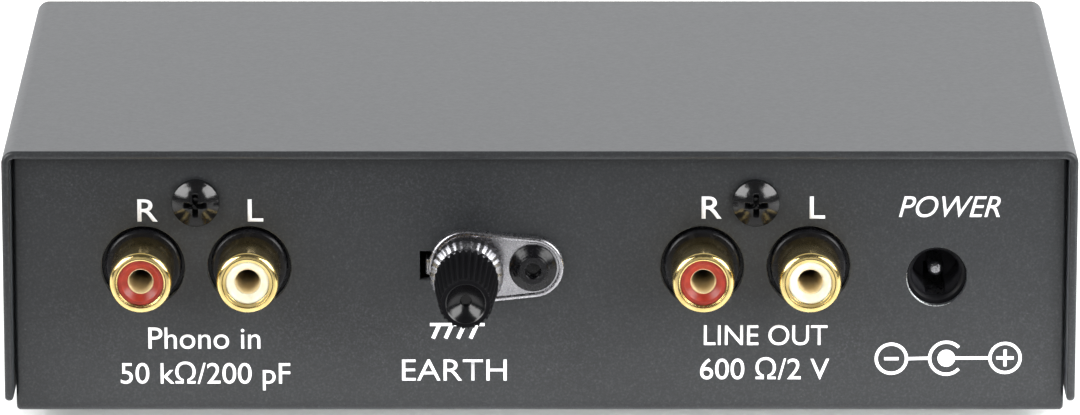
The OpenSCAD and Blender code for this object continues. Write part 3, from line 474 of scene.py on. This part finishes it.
def reach(node):
    """How far a node's back and its front stand out from the panel, in millimetres."""
    low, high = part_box(node)
    return (panel_y - high.y) / mm, (panel_y - low.y) / mm


shell_radius = half_size("input_left_shell")
shell_back, shell_front = reach("input_left_shell")
shoulder, waist_radius, rim_inside, rim_rounding, bore = 0.2, shell_radius - 0.3, 3.3, 0.75, 3.15
# The insulator has a funnel, a throat and, behind them, a wider bore for the contact
insulator_front = reach("input_left_insulator")[1]
funnel_radius, funnel_end, throat_radius, core_bore = 2.5, insulator_front - 0.72, 1.7, 1.9
throat_end = insulator_front - 3.95
# The sleeve's thin nose lines the throat
contact_back, contact_front = reach("input_left_contact")
nose_radius, nose_bore, nose_front = 1.69, 1.6, insulator_front - 0.85
sleeve_radius, sleeve_bore = 1.84, 1.5

gold_plate = finish("gold_plate", "ecd492", 0.16, 0.988)
turning = lumps(gold_plate, 0.35 * mm, detail=5, stretch=(1, 6, 1))
wear = lumps(gold_plate, 1.6 * mm, detail=3)
shade(gold_plate, wear, (0.3, "dfc47c"), (0.6, "ebd391"), (0.85, "f3e1a9"))
# Faces that look straight out were left matt by the cutting tool, and round ones polished
matt = spread(gold_plate, coordinate(gold_plate, "Y", "Normal"), 0.24, 0.0, at=(-0.99, -0.9))
polish = combine(gold_plate, "ADD", matt, spread(gold_plate, turning, 0.1, 0.22))
join(gold_plate, polish, "Roughness")
relief(gold_plate, (turning, 0.004 * mm))

contact_gold = finish("contact_gold", "bfae86", 0.5, 0.1)
drawing = lumps(contact_gold, 0.3 * mm, detail=4, stretch=(1, 0.2, 1))
# Painted tint: its gold is yellow near the mouth and greyer farther in, toning down the orange of light
# bounced round inside the hole
painted_tint_by_depth = spread(contact_gold, coordinate(contact_gold, "Y"), 0.0, 1.0,
                 at=(panel_y - 5.6 * mm, panel_y - 1.5 * mm))
shade(contact_gold, painted_tint_by_depth, (0.0, "d8c598"), (0.5, "ccbe9c"), (1.0, "cdc4ac"))
join(contact_gold, spread(contact_gold, drawing, 0.42, 0.6), "Roughness")
relief(contact_gold, (drawing, 0.004 * mm))

insulators = {}
for colour, tone, dark, light in (("red", "7e2012", "741c0f", "882616"),
                                  ("white", "c4bea7", "bbb59c", "ccc6b1")):
    nylon = finish(f"{colour}_insulator", tone, 0.33, Subsurface_Weight=0.7,
                   Subsurface_Radius=(2.0 * mm, 1.4 * mm, 0.9 * mm), Subsurface_Scale=1.0)
    dapple(nylon, lumps(nylon, 0.8 * mm, detail=3), (0.3, dark), (0.7, light), 0.003 * mm,
           rough=(0.34, 0.4))
    insulators[colour] = nylon

for pair in ("input", "output"):
    for channel, colour, lip in (("right", "red", 3.04), ("left", "white", 2.86)):
        jack = f"{pair}_{channel}"
        centre = middle(f"{jack}_shell")
        foot = (centre.x, panel_y, centre.z)
        shell = eased([
            (waist_radius, shell_back, 0), (waist_radius, shoulder, 0),
            (shell_radius, shoulder, 0.05), (shell_radius, shell_front, rim_rounding),
            (rim_inside, shell_front, 0.08), (rim_inside - 0.05, shell_front - 0.12, 0.04),
            (lip, shell_front - 0.2, 0.06), (lip, shell_front - 0.62, 0),
            (bore, shell_front - 0.7, 0), (bore, shell_back, 0)], steps=8)
        show(f"{jack}_barrel", turned(f"{jack}_barrel", shell, foot, out),
             gold_plate, "case", [f"{jack}_shell"])
        core = eased([
            (core_bore, shell_back, 0), (bore - 0.05, shell_back, 0),
            (bore - 0.05, shell_front - 0.75, 0), (lip - 0.03, shell_front - 0.66, 0),
            (lip - 0.03, insulator_front, 0.1), (funnel_radius, insulator_front, 0.2),
            (1.72, funnel_end, 0.16), (throat_radius, throat_end, 0), (core_bore, throat_end, 0)],
            steps=8)
        show(f"{jack}_insulating_core", turned(f"{jack}_insulating_core", core, foot, out),
             insulators[colour], "case", [f"{jack}_insulator"])
        sleeve = eased([
            (sleeve_radius, contact_back, 0), (sleeve_radius, contact_front, 0),
            (nose_radius, contact_front, 0), (nose_radius, nose_front, 0.03),
            (nose_bore, nose_front, 0.03), (nose_bore, contact_front + 0.2, 0),
            (sleeve_bore, contact_front, 0), (sleeve_bore, contact_back, 0)])
        show(f"{jack}_contact_sleeve", turned(f"{jack}_contact_sleeve", sleeve, foot, out, columns=64),
             contact_gold, "case", [f"{jack}_contact"])


# ---------------------------------------------------------------- Panel screws
# A black machine screw with a domed pan head and a cross recess holds each jack pair to the
# panel, cold-headed from steel and finished in a glossy black.

def screw_head(name, head, foot, axis):
    """Surface of a pan-head screw over the distance from its axis and the turn round it. The
    height is a spherical dome, less the cross recess, whose floor rises evenly from the middle
    to the ends of its wings. Columns of the grid follow the wings' parallel sides."""
    radius, height, rise, corner = head["radius"], head["height"], head["rise"], 0.3
    wing, span, shank, end = head["wing"] / 2, head["span"] / 2, head["shank"], -head["length"]
    dome = (radius ** 2 + rise ** 2) / (2 * rise)
    r = np.unique(np.concatenate([
        np.linspace(0, wing, 4), np.linspace(wing, wing * 1.42, 4), np.linspace(wing * 1.42, span, 16),
        np.linspace(span, radius - corner, 14)]))
    # Half the angle that a wing takes up at each distance; the two wings meet in the middle
    quarter = math.pi / 4
    edge = np.arcsin(np.minimum(wing / np.maximum(r, 1e-9), math.sin(quarter)))
    # Columns across half a wing, the last three at its wall, then those over the land beside it
    in_wing = np.array([0, 0.5, 0.9, 1.0, 1.0, 1.0])
    beside_wall = np.array([0, 0, 0, -0.4, 0, 0.6])
    land = np.array([0.06, 0.3, 0.6, 1.0])
    margin = np.minimum(0.05 / np.maximum(r, 0.05), quarter - edge)
    sides = edge[:, None] * in_wing + margin[:, None] * beside_wall
    open_land = edge[:, None] + (quarter - edge)[:, None] * land * 0.999
    half = np.hstack([sides, np.maximum(open_land, sides[:, -1:])])
    # Share of the recess's depth at each of them, mirrored over the quarter and turned round
    share = np.concatenate([[1, 1, 1, 1, 0.12, 0], np.zeros(len(land))])
    eighth = np.hstack([half, (math.pi / 2 - half[:, ::-1])[:, 1:]])
    turn = np.hstack([eighth[:, :-1] + k * math.pi / 2 for k in range(4)])
    depth_share = np.concatenate([np.concatenate([share, share[::-1][1:]])[:-1]] * 4)
    top = height - dome + np.sqrt(dome ** 2 - r ** 2)
    recess_top = height - 0.15
    recess_floor = recess_top - head["recess"] * np.clip((span - r) / (span * 0.5), 0, 1)
    floor_height = np.where(r < span, np.minimum(top, recess_floor), top)
    z = top[:, None] + (floor_height - top)[:, None] * depth_share
    face = np.stack([r[:, None] * np.cos(turn), r[:, None] * np.sin(turn), z], axis=2)
    rim_top = height - dome + math.sqrt(dome ** 2 - (radius - corner) ** 2)
    side = eased([(radius - corner, rim_top, 0), (radius, rim_top - 0.22, 0.22), (radius, 0, 0.08),
                  (shank, 0, 0), (shank, end, 0.2), (0, end, 0)])[1:]
    around = turn[-1]
    rest = np.stack([side[:, :1] * np.cos(around), side[:, :1] * np.sin(around),
                     side[:, 1:] + 0 * around], axis=2)
    return grid_mesh(name, stood(np.concatenate([face, rest]) * mm, foot, axis))


panel_head = {"radius": 3.15, "height": 2.1, "rise": 1.29, "wing": 0.75, "span": 3.4,
              "recess": 1.2, "shank": 1.45, "length": 8}
screw_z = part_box("jack_screws")[1].z - panel_head["radius"] * mm

black_screws = finish("black_screws", "0b0b0d", 0.16, Specular_IOR_Level=0.45)
pickling = lumps(black_screws, 0.12 * mm, detail=4)
dents = lumps(black_screws, 0.5 * mm, detail=3)
shade(black_screws, pickling, (0.3, "090909"), (0.7, "111113"))
join(black_screws, spread(black_screws, pickling, 0.1, 0.24), "Roughness")
relief(black_screws, (dents, 0.02 * mm), (pickling, 0.004 * mm))
# Painted shade: below the middle of a panel screw's head the shine is turned down, keeping the floor's
# reflection dim there
painted_shade_gloss = spread(black_screws, coordinate(black_screws, "Z"), 0.18, 0.5, at=(screw_z - 1.4 * mm, screw_z))
join(black_screws, painted_shade_gloss, "Specular IOR Level")

# Both screws are one node, and the first of them stands for it
for pair, nodes in (("input", ["jack_screws"]), ("output", ())):
    low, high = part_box(f"{pair}_jack_housing")
    name = f"{pair}_panel_screw"
    mesh = screw_head(name, panel_head, ((low.x + high.x) / 2, panel_y, screw_z), out)
    show(name, mesh, black_screws, "case", nodes)


# ---------------------------------------------------------------- Power jack
# A barrel jack in black plastic behind its own hole in the panel, with a nickel-plated centre
# pin and a leaf contact in the floor of its mouth. At the lower left of the punched hole the
# paint is rubbed off, and a crescent of bare steel shows.

socket_plastic = finish("socket_plastic", "1a1a1c", 0.4, Specular_IOR_Level=0.1)
mottle = lumps(socket_plastic, 0.7 * mm, detail=3)
# Painted light: the colour runs from dark at the chamfer to pale deep in the mouth, lifting the shade
# inside it
socket_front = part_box("dc_jack_housing")[0].y
painted_mouth_light = spread(socket_plastic, coordinate(socket_plastic, "Y"), 0.0, 1.0,
              at=(socket_front + 0.6 * mm, socket_front + 7.0 * mm))
shade(socket_plastic, painted_mouth_light, (0.0, "101012"), (0.12, "202023"), (1.0, "505055"))
join(socket_plastic, spread(socket_plastic, mottle, 0.32, 0.48), "Roughness")
relief(socket_plastic, (mottle, 0.006 * mm))
eased_copy("dc_jack_housing", "power_jack_block", socket_plastic, 0.08 * mm)

# A round bead bent along the hole's edge, thickest in the middle and tapering to both ends
socket = middle("dc_jack_pin")
hole_edge, bead_radius, bead_sunk = 3.98, 0.1, 0.04
bead_start, bead_sweep = 172, 126
along = np.linspace(0, 1, 49)[:, None]
turn = np.radians(bead_start + bead_sweep * along)
thick = bead_radius * np.sin(math.pi * along) ** 0.6
around = np.linspace(0, 2 * math.pi, 16, endpoint=False)
r = hole_edge + thick * np.cos(around)
crescent = np.stack([socket.x + r * np.cos(turn) * mm,
                     panel_y + (bead_sunk - thick * np.sin(around)) * mm,
                     socket.z + r * np.sin(turn) * mm], axis=2)
show("power_hole_edge", grid_mesh("power_hole_edge", crescent), tinned_metal, "case")

nickel_pin = finish("nickel_pin", "9a9a9d", 0.3, 1.0)
dapple(nickel_pin, lumps(nickel_pin, 0.25 * mm, detail=4), (0.3, "7c7c80"), (0.7, "b0b0b3"),
       0.01 * mm, rough=(0.2, 0.42))
dress(nickel_pin, "dc_jack_pin", "dc_jack_spring")


# ---------------------------------------------------------------- Ground plate, stud and rivet
# A pear-shaped plate of nickel-plated brass, stamped with a rolled edge, lies on the panel under
# the terminal. The stud and a black blind rivet hold it, and a tab goes back through a slot.

nickel_plate = finish("nickel_plate", "b4b3b7", 0.24, 1.0)
plating = lumps(nickel_plate, 0.4 * mm, detail=3)
handling = lumps(nickel_plate, 1.5 * mm)
shade(nickel_plate, handling, (0.3, "a7a6ab"), (0.7, "bfbec2"))
join(nickel_plate, spread(nickel_plate, plating, 0.22, 0.32), "Roughness")
relief(nickel_plate, (handling, 0.003 * mm), (plating, 0.0006 * mm))
eased_copy("ground_plate", "ground_pear_plate", nickel_plate, 0.2 * mm, angle=35,
           segments=4)
dress(nickel_plate, "ground_stud", "ground_lock_nut")
dress(tinned_metal, "ground_link")

# The bead along the plate's edge: its section, half an oval closed underneath inside the plate,
# runs round the outline, an arc round the stud and a smaller one round the rivet
stud, rivet = middle("ground_stud"), middle("ground_rivet")
plate_face = reach("ground_plate")[1]
stud_end, rivet_end = half_size("ground_plate", "z"), (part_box("ground_plate")[1].x - rivet.x) / mm
pitch = (rivet.x - stud.x) / mm
lean = math.asin((stud_end - rivet_end) / pitch)
stud_turn = np.linspace(math.pi / 2 - lean, 3 * math.pi / 2 + lean, 97)
rivet_turn = np.linspace(lean - math.pi / 2, math.pi / 2 - lean, 65)
outline_turn = np.concatenate([stud_turn, rivet_turn])
outline_x = np.concatenate([0 * stud_turn, 0 * rivet_turn + pitch])
outline_r = np.concatenate([0 * stud_turn + stud_end, 0 * rivet_turn + rivet_end])
bead_inset, bead_half, bead_height = 0.36, 0.32, 0.17
section_turn = np.linspace(-0.15 * math.pi, 1.15 * math.pi, 15)
rise = bead_height * np.sin(section_turn)
r = outline_r[:, None] - (bead_inset - bead_half * np.cos(section_turn))
bead = np.stack([stud.x + (outline_x[:, None] + r * np.cos(outline_turn)[:, None]) * mm,
                 panel_y - (plate_face + rise + 0 * r) * mm,
                 stud.z + r * np.sin(outline_turn)[:, None] * mm], axis=2)
show("ground_plate_bead", grid_mesh("ground_plate_bead", bead, wrap_rows=True), nickel_plate,
     "case")

# The rivet's head is a shallow dome, with a ring that stands up round the drawn pin's hole
rivet_radius = half_size("ground_rivet")
rivet_back, rivet_front = reach("ground_rivet")
rivet_foot = (rivet.x, panel_y, rivet.z)
dome_radius, dome_height, ring_radius = 4.73, 1.5, 2.0
dome_r = np.linspace(ring_radius, rivet_radius - 0.2, 12)
dome_h = plate_face + dome_height - dome_radius + np.sqrt(dome_radius ** 2 - dome_r ** 2)
ring = eased([(0, rivet_front - 1.1, 0), (0.98, rivet_front - 1.15, 0.12), (1.02, rivet_front, 0.16),
              (ring_radius - 0.05, rivet_front, 0.2), (ring_radius, dome_h[0], 0.12),
              (2.3, dome_h[0] - 0.13, 0)])[:-1]
shank_radius, tail_radius, tail_start = 1.6, 2.3, -1.1
skirt = eased([(rivet_radius - 0.2, dome_h[-1], 0), (rivet_radius, dome_h[-1] - 0.12, 0.12),
               (rivet_radius, plate_face, 0.05), (shank_radius, plate_face, 0),
               (shank_radius, tail_start, 0), (tail_radius, tail_start, 0.1),
               (tail_radius, rivet_back, 0.2), (0, rivet_back, 0)])
profile = np.vstack([ring, np.stack([dome_r[1:-1], dome_h[1:-1]], axis=1), skirt])
rivet_black = finish("rivet_black", "08080a", 0.22, Specular_IOR_Level=0.26)
dapple(rivet_black, lumps(rivet_black, 0.4 * mm, detail=4), (0.3, "070709"), (0.75, "0f0f11"),
       0.012 * mm, rough=(0.14, 0.32))
show("ground_blind_rivet", turned("ground_blind_rivet", profile, rivet_foot, out),
     rivet_black, "case", ["ground_rivet"])


# ---------------------------------------------------------------- Clamp collar and thumb nut
# The collar is a serrated nickel ring that clamps the ground wire. The nut in front of it is
# black plastic moulded over a brass insert, and its straight knurl tapers to a plain ring round
# a dish.

teeth, knurl_depth, serration_depth, blunting = 30, 0.4, 0.1, 0.12


def knurled(name, profile, rod, depth, steps=14):
    """A turned profile on the stud, cut by straight teeth: the radius is the smaller of the
    profile's and of a toothed rod's. The rod's crests follow `rod`, rows of (height, radius), and
    its radius drops from crest to root by the depth's share, along a blunted zigzag of the turn."""
    turn = np.linspace(0, 2 * math.pi, teeth * steps, endpoint=False)
    zigzag = 1 - np.abs((turn * teeth / math.pi) % 2 - 1)
    wave = np.clip((zigzag - blunting) / (1 - 2 * blunting), 0, 1)
    crest = np.interp(profile[:, 1], rod[:, 0], rod[:, 1])[:, None]
    r = np.minimum(profile[:, :1], crest * (1 - depth / rod[:, 1].max() * wave)) * mm
    h = profile[:, 1:] * mm
    local = np.stack([r * np.cos(turn), -(h + 0 * turn), r * np.sin(turn)], axis=2)
    return grid_mesh(name, local + np.array((stud.x, panel_y, stud.z)), wrap_rows=profile[0, 0] > 0)


def filled(profile, longest):
    """The profile with every stretch longer than `longest` cut into equal parts."""
    parts = []
    for here, there in zip(profile, np.roll(profile, -1, axis=0)):
        count = max(1, int(np.ceil(np.linalg.norm(there - here) / longest)))
        parts.append(here + (there - here) * np.arange(count)[:, None] / count)
    return np.vstack(parts[:-1] + [profile[-1:]])


def from_stud(material, low, high, at):
    """The distance from the stud's axis, drawn out from low to high between two radii."""
    place = add_node(material, "TexCoord").outputs["Object"]
    place = add_node(material, "Mapping", Vector=place, Location=(-stud.x, 0, -stud.z), Scale=(1, 0, 1))
    distance = add_node(material, "VectorMath", {"operation": "LENGTH"}, Vector=place.outputs["Vector"])
    return spread(material, distance.outputs["Value"], low, high, at=at)


# Painted highlight: the collar's teeth are coloured bright next to the nut and dull farther out, as a
# band of light along the nut's teeth
collar_nickel = finish("collar_nickel", "858589", 0.3, 1.0)
tumbling = lumps(collar_nickel, 0.3 * mm, detail=3)
shade(collar_nickel, from_stud(collar_nickel, 0.0, 1.0, at=(4.15 * mm, 4.7 * mm)),
      (0.0, "a4a4a8"), (1.0, "626266"))
join(collar_nickel, spread(collar_nickel, tumbling, 0.22, 0.4), "Roughness")
relief(collar_nickel, (tumbling, 0.006 * mm))

collar_back, collar_front = reach("clamp_collar")
rim_radius, rim_front = half_size("clamp_collar"), collar_back + 1.7
cone_radius, neck_radius, insert_radius, recess_radius = 4.0, 3.6, 2.95, 3.45
cone_front = rim_front + rim_radius - cone_radius
recess_floor = collar_back + 0.7
collar_profile = filled(eased([
    (recess_radius, collar_back, 0), (rim_radius - 0.15, collar_back, 0.05),
    (rim_radius, collar_back + 0.15, 0.08), (rim_radius, rim_front, 0.15),
    (cone_radius, cone_front, 0.04), (neck_radius, cone_front, 0.04),
    (neck_radius, collar_front, 0.05), (insert_radius, collar_front, 0.05),
    (insert_radius, recess_floor, 0), (recess_radius, recess_floor, 0)]), 0.3)
rod = np.array([(rim_front, rim_radius), (cone_front, cone_radius), (cone_front + 0.01, rim_radius)])
show("serrated_collar", knurled("serrated_collar", collar_profile, rod, serration_depth),
     collar_nickel, "clamp_collar", ["clamp_collar"])
dress(brass, "nut_insert")

nut_back, nut_front = reach("thumb_nut")
nut_radius = half_size("thumb_nut", "z")
tip_radius, straight, end_chamfer, nut_bore = 3.5, 2.2, 0.35, 2.93
dish_radius, dish_start, hole_mouth, hole_radius = 2.6, nut_front - 0.06, 0.95, 0.7
# The dish curves in like a bowl, its slope falling from 50 degrees at the rim to 28 at the hole
dish_r = np.linspace(dish_radius, hole_mouth, 12)
dish_slope = np.radians(np.linspace(50, 28, 12))
dish_h = dish_start - np.concatenate([[0], np.cumsum(-np.diff(dish_r) * np.tan(dish_slope[1:]))])
dish_floor = dish_h[-1]
nut_outside = eased([
    (nut_bore, nut_back, 0), (nut_radius - 0.15, nut_back, 0.05), (nut_radius, nut_back + 0.15, 0.05),
    (nut_radius, nut_back + straight, 0.4), (tip_radius, nut_front - end_chamfer, 0.1),
    (tip_radius - end_chamfer, nut_front, 0.1), (dish_radius + 0.1, nut_front, 0.06),
    (dish_radius, dish_start, 0)])
nut_inside = eased([
    (hole_mouth, dish_floor, 0), (0.75, dish_floor - 0.1, 0.04), (hole_radius, dish_floor - 0.7, 0.05),
    (0, dish_floor - 0.7, 0), (0, dish_floor - 1.35, 0), (nut_bore, dish_floor - 1.4, 0)])[1:]
nut_profile = filled(np.vstack([nut_outside, np.stack([dish_r, dish_h], axis=1)[1:], nut_inside]), 0.5)
rod = np.array([(nut_back + straight, nut_radius), (nut_front, tip_radius)])
nut_plastic = finish("thumb_nut_plastic", "0d0d0f", 0.24, Specular_IOR_Level=0.4)
skin_flow = lumps(nut_plastic, 0.6 * mm, detail=3)
dapple(nut_plastic, skin_flow, (0.3, "09090b"), (0.8, "0e0e10"), 0.008 * mm)
# Only the dish is polished: the rest came matt from the mould
dish_edge = (dish_radius * mm, (dish_radius + 0.08) * mm)
join(nut_plastic, from_stud(nut_plastic, 0.2, 0.5, dish_edge), "Roughness")
join(nut_plastic, from_stud(nut_plastic, 0.4, 0.06, dish_edge), "Specular IOR Level")
show("knurled_thumb_nut", knurled("knurled_thumb_nut", nut_profile, rod, knurl_depth),
     nut_plastic, "thumb_nut", ["thumb_nut"])


# ---------------------------------------------------------------- Power light
# A small blue lamp, cast in clear epoxy with a domed lens. It stands in its spacer behind the
# front panel.

led_lens = finish("led_lens", "3f9fe0", 0.08, Transmission_Weight=0.6, IOR=1.5)
dapple(led_lens, lumps(led_lens, 0.5 * mm, detail=2), (0.3, "3592d6"), (0.8, "58b0ea"), 0.003 * mm)
dress(led_lens, "power_led")


# ---------------------------------------------------------------- Cover and its screws
# The upper half of the case: one steel sheet bent down at both sides, in the same powder coat,
# standing past both panels. Two black pan-head screws in each side hold it to the base.

eased_copy("top_cover", "cover_sheet", case_paint, 0.48 * mm, segments=5, rims="yz",
           inner=0.25)

cover_head = dict(panel_head, height=1.67, rise=1.05, length=6)
low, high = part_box("cover_screws")
side_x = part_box("top_cover")[1].x
inset = cover_head["radius"] * mm
places = [(side, y) for side in (-1, 1) for y in (low.y + inset, high.y - inset)]
for number, (side, y) in enumerate(places):
    name = f"cover_screw_{number + 1}"
    mesh = screw_head(name, cover_head, (side * side_x, y, (low.z + high.z) / 2), (side, 0, 0))
    show(name, mesh, black_screws, "case", ["cover_screws"] if number == 0 else ())


# ---------------------------------------------------------------- Printed signs
# White screen-printed ink on the connector panel: channel letters, what goes in and comes out,
# an earth sign and the polarity of the power plug.

ink = finish("white_ink", "c2c2c4", 0.5)
dapple(ink, lumps(ink, 0.15 * mm, detail=3), (0.3, "bebec0"), (0.6, "c7c7c9"), 0.004 * mm)
ink_thickness = 0.02 * mm


def ink_piece(name, mesh):
    """Prints a flat figure on the panel as a layer of ink. The figure is drawn in millimetres, x
    across from the panel's middle and y up from the base."""
    mesh.transform(Matrix(((mm, 0, 0, 0), (0, 0, -mm, panel_y), (0, mm, 0, pan_low.z), (0, 0, 0, 1))))
    piece = show(name, mesh, ink, "case")
    layer = piece.modifiers.new("ink_layer", "SOLIDIFY")
    layer.thickness = ink_thickness
    layer.offset = 1


def printed_words(name, words, centre, baseline, cap, stretch=1.0, lean=0.0, heavy=0.002):
    """Prints words in the built-in plain font, centred, with capitals `cap` mm high. An H gives
    the font's own height of capitals, and the words' two outermost points give their middle."""
    drawn = []
    for text in ("H", words):
        curve = bpy.data.curves.new(name, "FONT")
        curve.body = text
        curve.shear = lean
        curve.offset = heavy
        curve.resolution_u = 6
        holder = bpy.data.objects.new(name + "_curve", curve)
        bpy.context.scene.collection.objects.link(holder)
        bpy.context.view_layer.update()
        drawn.append(bpy.data.meshes.new_from_object(holder))
        bpy.data.objects.remove(holder)
    capital, sign = drawn
    size = cap / max(vertex.co.y for vertex in capital.vertices)
    across = [vertex.co.x for vertex in sign.vertices]
    place = Matrix.Translation((centre, baseline, 0)) @ Matrix.Diagonal((size * stretch, size, 1, 1))
    sign.transform(place @ Matrix.Translation((-(min(across) + max(across)) / 2, 0, 0)))
    ink_piece(name, sign)


def printed_strokes(name, *strokes):
    """Prints flat strokes. Each is a row of points [n, 2] with a width, drawn as a band whose two
    edges stand half the width to either side of the path, and lies 0.002 mm over the last."""
    edges, lifts, quads = [], [], []
    for count, (path, width) in enumerate(strokes):
        path = np.array(path, float)
        along = np.gradient(path, axis=0)
        along /= np.linalg.norm(along, axis=1)[:, None]
        across = np.stack([-along[:, 1], along[:, 0]], axis=1) * width / 2
        left = sum(len(edge) for edge in edges)
        right = left + len(path)
        edges += [path + across, path - across]
        lifts += [count * 0.002] * (2 * len(path))
        n = np.arange(len(path) - 1)
        quads += np.stack([left + n, right + n, right + n + 1, left + n + 1], axis=1).tolist()
    mesh = bpy.data.meshes.new(name)
    mesh.from_pydata(np.column_stack([np.vstack(edges), lifts]).tolist(), [], quads)
    ink_piece(name, mesh)


def arc(centre, radius, start=0, end=360, steps=48):
    """Points of an arc between two angles in degrees, a whole ring unless they are given."""
    turn = np.radians(np.linspace(start, end, steps + 1))
    return np.array(centre) + radius * np.stack([np.cos(turn), np.sin(turn)], axis=1)


for place, letter, x, baseline in (("input_right", "R", -51.6, 26.2), ("input_left", "L", -37.4, 26.2),
                                   ("output_right", "R", 22.6, 26.6), ("output_left", "L", 36.5, 26.6)):
    printed_words(f"sign_{place}", letter, x, baseline, 3.0, 1.12, heavy=0.006)
printed_words("sign_input", "Phono in", -44.3, 8.8, 2.9)
printed_words("sign_input_load", "50 kΩ/200 pF", -44.2, 4.0, 2.8)
printed_words("sign_output", "LINE OUT", 29.8, 9.3, 2.7, 0.95)
printed_words("sign_output_load", "600 Ω/2 V", 29.7, 4.6, 2.8)
printed_words("sign_earth", "EARTH", -11.3, 4.4, 2.9, 1.1, heavy=-0.003)
printed_words("sign_power", "POWER", 53.9, 26.8, 2.8, 0.95, lean=0.28, heavy=0.0)

# Earth sign: a bar with four strokes that lean away below it, partly behind the thumb nut
bar_left, bar_right, bar_z, stroke_z = -14.5, -7.3, 12.1, 10.2
first_stroke, stroke_pitch, stroke_lean = 1.25, 1.65, 0.85
strokes = [([(bar_left, bar_z), (bar_right, bar_z)], 0.42)]
for k in range(4):
    top = bar_left + first_stroke + k * stroke_pitch
    strokes.append(([(top, bar_z), (top - stroke_lean, stroke_z)], 0.5))
printed_strokes("sign_earth_bars", *strokes)

# Plug polarity: minus ring, open ring with a dot for the plug's two contacts, plus ring
line, ring, open_ring, dot, minus_arm, plus_arm = 0.42, 2.0, 2.2, 0.58, 0.95, 1.15
minus, plug, plus = (46.44, 7.41), (53.7, 7.48), (61.46, 7.52)
printed_strokes(
    "sign_plug_polarity",
    (arc(minus, ring), line),
    ([(minus[0] - minus_arm, minus[1]), (minus[0] + minus_arm, minus[1])], line),
    ([(minus[0] + ring, minus[1]), (plug[0] - open_ring, plug[1])], line),
    (arc(plug, open_ring, 42, 318), line),
    ([plug, (plus[0] - ring, plus[1])], line),
    (arc(plug, dot), 2 * dot),
    (arc(plus, ring), line),
    ([(plus[0] - plus_arm, plus[1]), (plus[0] + plus_arm, plus[1])], line),
    ([(plus[0], plus[1] - plus_arm), (plus[0], plus[1] + plus_arm)], line))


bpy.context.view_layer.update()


def plain(box):
    """A box of two corners as plain lists of numbers."""
    return [[float(v) for v in corner] for corner in box]
